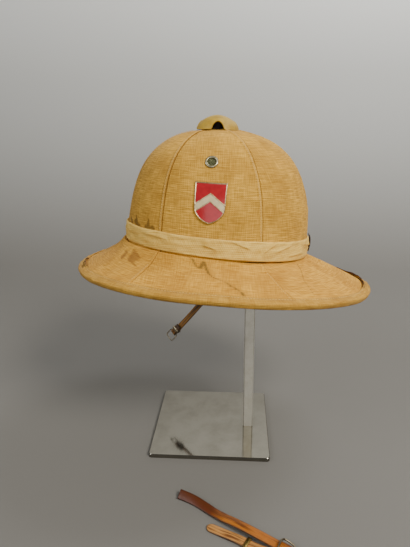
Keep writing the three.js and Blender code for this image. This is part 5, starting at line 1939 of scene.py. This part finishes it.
# Painted shade low on the sweep, turning to painted light higher up the back
paper_shade_to_light_tone, paper_fleck = (
    add_node(
        paper_tree, "ShaderNodeMix", {0: share, MIX_A: linear(low), MIX_B: linear(high)}, data_type="RGBA"
    ).outputs[MIX_RESULT]
    for share, low, high in ((paper_painted_light_rise, "#767470", "#e9ebea"), (paper_noise, "#f2f1ee", "#ffffff"))
)
both_tones = {0: 1.0, MIX_A: paper_shade_to_light_tone, MIX_B: paper_fleck}
paper_colour = add_node(
    paper_tree, "ShaderNodeMix", both_tones, data_type="RGBA", blend_type="MULTIPLY"
).outputs[MIX_RESULT]
paper_tree.links.new(paper_colour, paper_shader.inputs["Base Color"])
paper_shader.inputs["Roughness"].default_value = 0.85

# %% Lay the paper sweep
SWEEP_WIDTH = 6.0  # this and the next sizes are in metres
SWEEP_FRONT = -2.0
SWEEP_BACK = 0.55
SWEEP_CURVE = 0.5
SWEEP_TOP = 3.2
SWEEP_STEPS = 24

bend = np.radians(np.linspace(0, 90, SWEEP_STEPS))
curve = [(SWEEP_BACK + SWEEP_CURVE * math.sin(a), SWEEP_CURVE * (1 - math.cos(a))) for a in bend]
profile = [(SWEEP_FRONT, 0.0), *curve, (SWEEP_BACK + SWEEP_CURVE, SWEEP_TOP)]
corners = [(side * SWEEP_WIDTH / 2, y, z) for y, z in profile for side in (-1, 1)]
sweep_mesh = bpy.data.meshes.new("paper_sweep")
sweep_mesh.from_pydata(corners, [], [(2 * i, 2 * i + 1, 2 * i + 3, 2 * i + 2) for i in range(len(profile) - 1)])
sweep_mesh.polygons.foreach_set("use_smooth", [True] * len(sweep_mesh.polygons))
sweep_mesh.materials.append(paper)
paper_sweep = bpy.data.objects.new("paper_sweep", sweep_mesh)
bpy.context.scene.collection.objects.link(paper_sweep)
print("paper sweep faces:", len(sweep_mesh.polygons))


# %% Hang the lamps
def hang_lamp(name, place, target, width, power, colour="#ffffff"):
    """A square soft lamp that looks at a target."""
    data = bpy.data.lights.new(name, "AREA")
    data.shape = "SQUARE"
    data.size = width
    data.energy = power
    data.color = linear(colour)[:3]
    lamp = bpy.data.objects.new(name, data)
    lamp.location = place
    aim = np.array(place) - np.array(target)
    lamp.rotation_euler = (math.atan2(math.hypot(aim[0], aim[1]), aim[2]), 0, math.atan2(aim[0], -aim[1]))
    bpy.context.scene.collection.objects.link(lamp)
    print(name, "gives", power, "W")


hang_lamp("key_lamp", (0.95, -1.1, 1.4), (0.0, 0.0, 0.25), 0.6, 36, "#fffaf0")
hang_lamp("side_lamp", (-1.2, -0.8, 1.2), (0.0, 0.0, 0.28), 0.9, 10)
hang_lamp("front_card", (0.1, -1.9, 0.5), (0.04, 0.05, 0.15), 1.0, 5)
hang_lamp("back_lamp", (0.7, 0.35, 1.5), (0.35, 1.05, 0.9), 0.6, 14)

# %% Light the room's air
AIR_STRENGTH = 0.26  # just enough to lift the shadows

world = bpy.data.worlds.new("studio_air")
world.use_nodes = True
air = world.node_tree.nodes["Background"]
air.inputs["Color"].default_value = linear("#e8e6e2")
air.inputs["Strength"].default_value = AIR_STRENGTH
bpy.context.scene.world = world
print("world:", world.name)
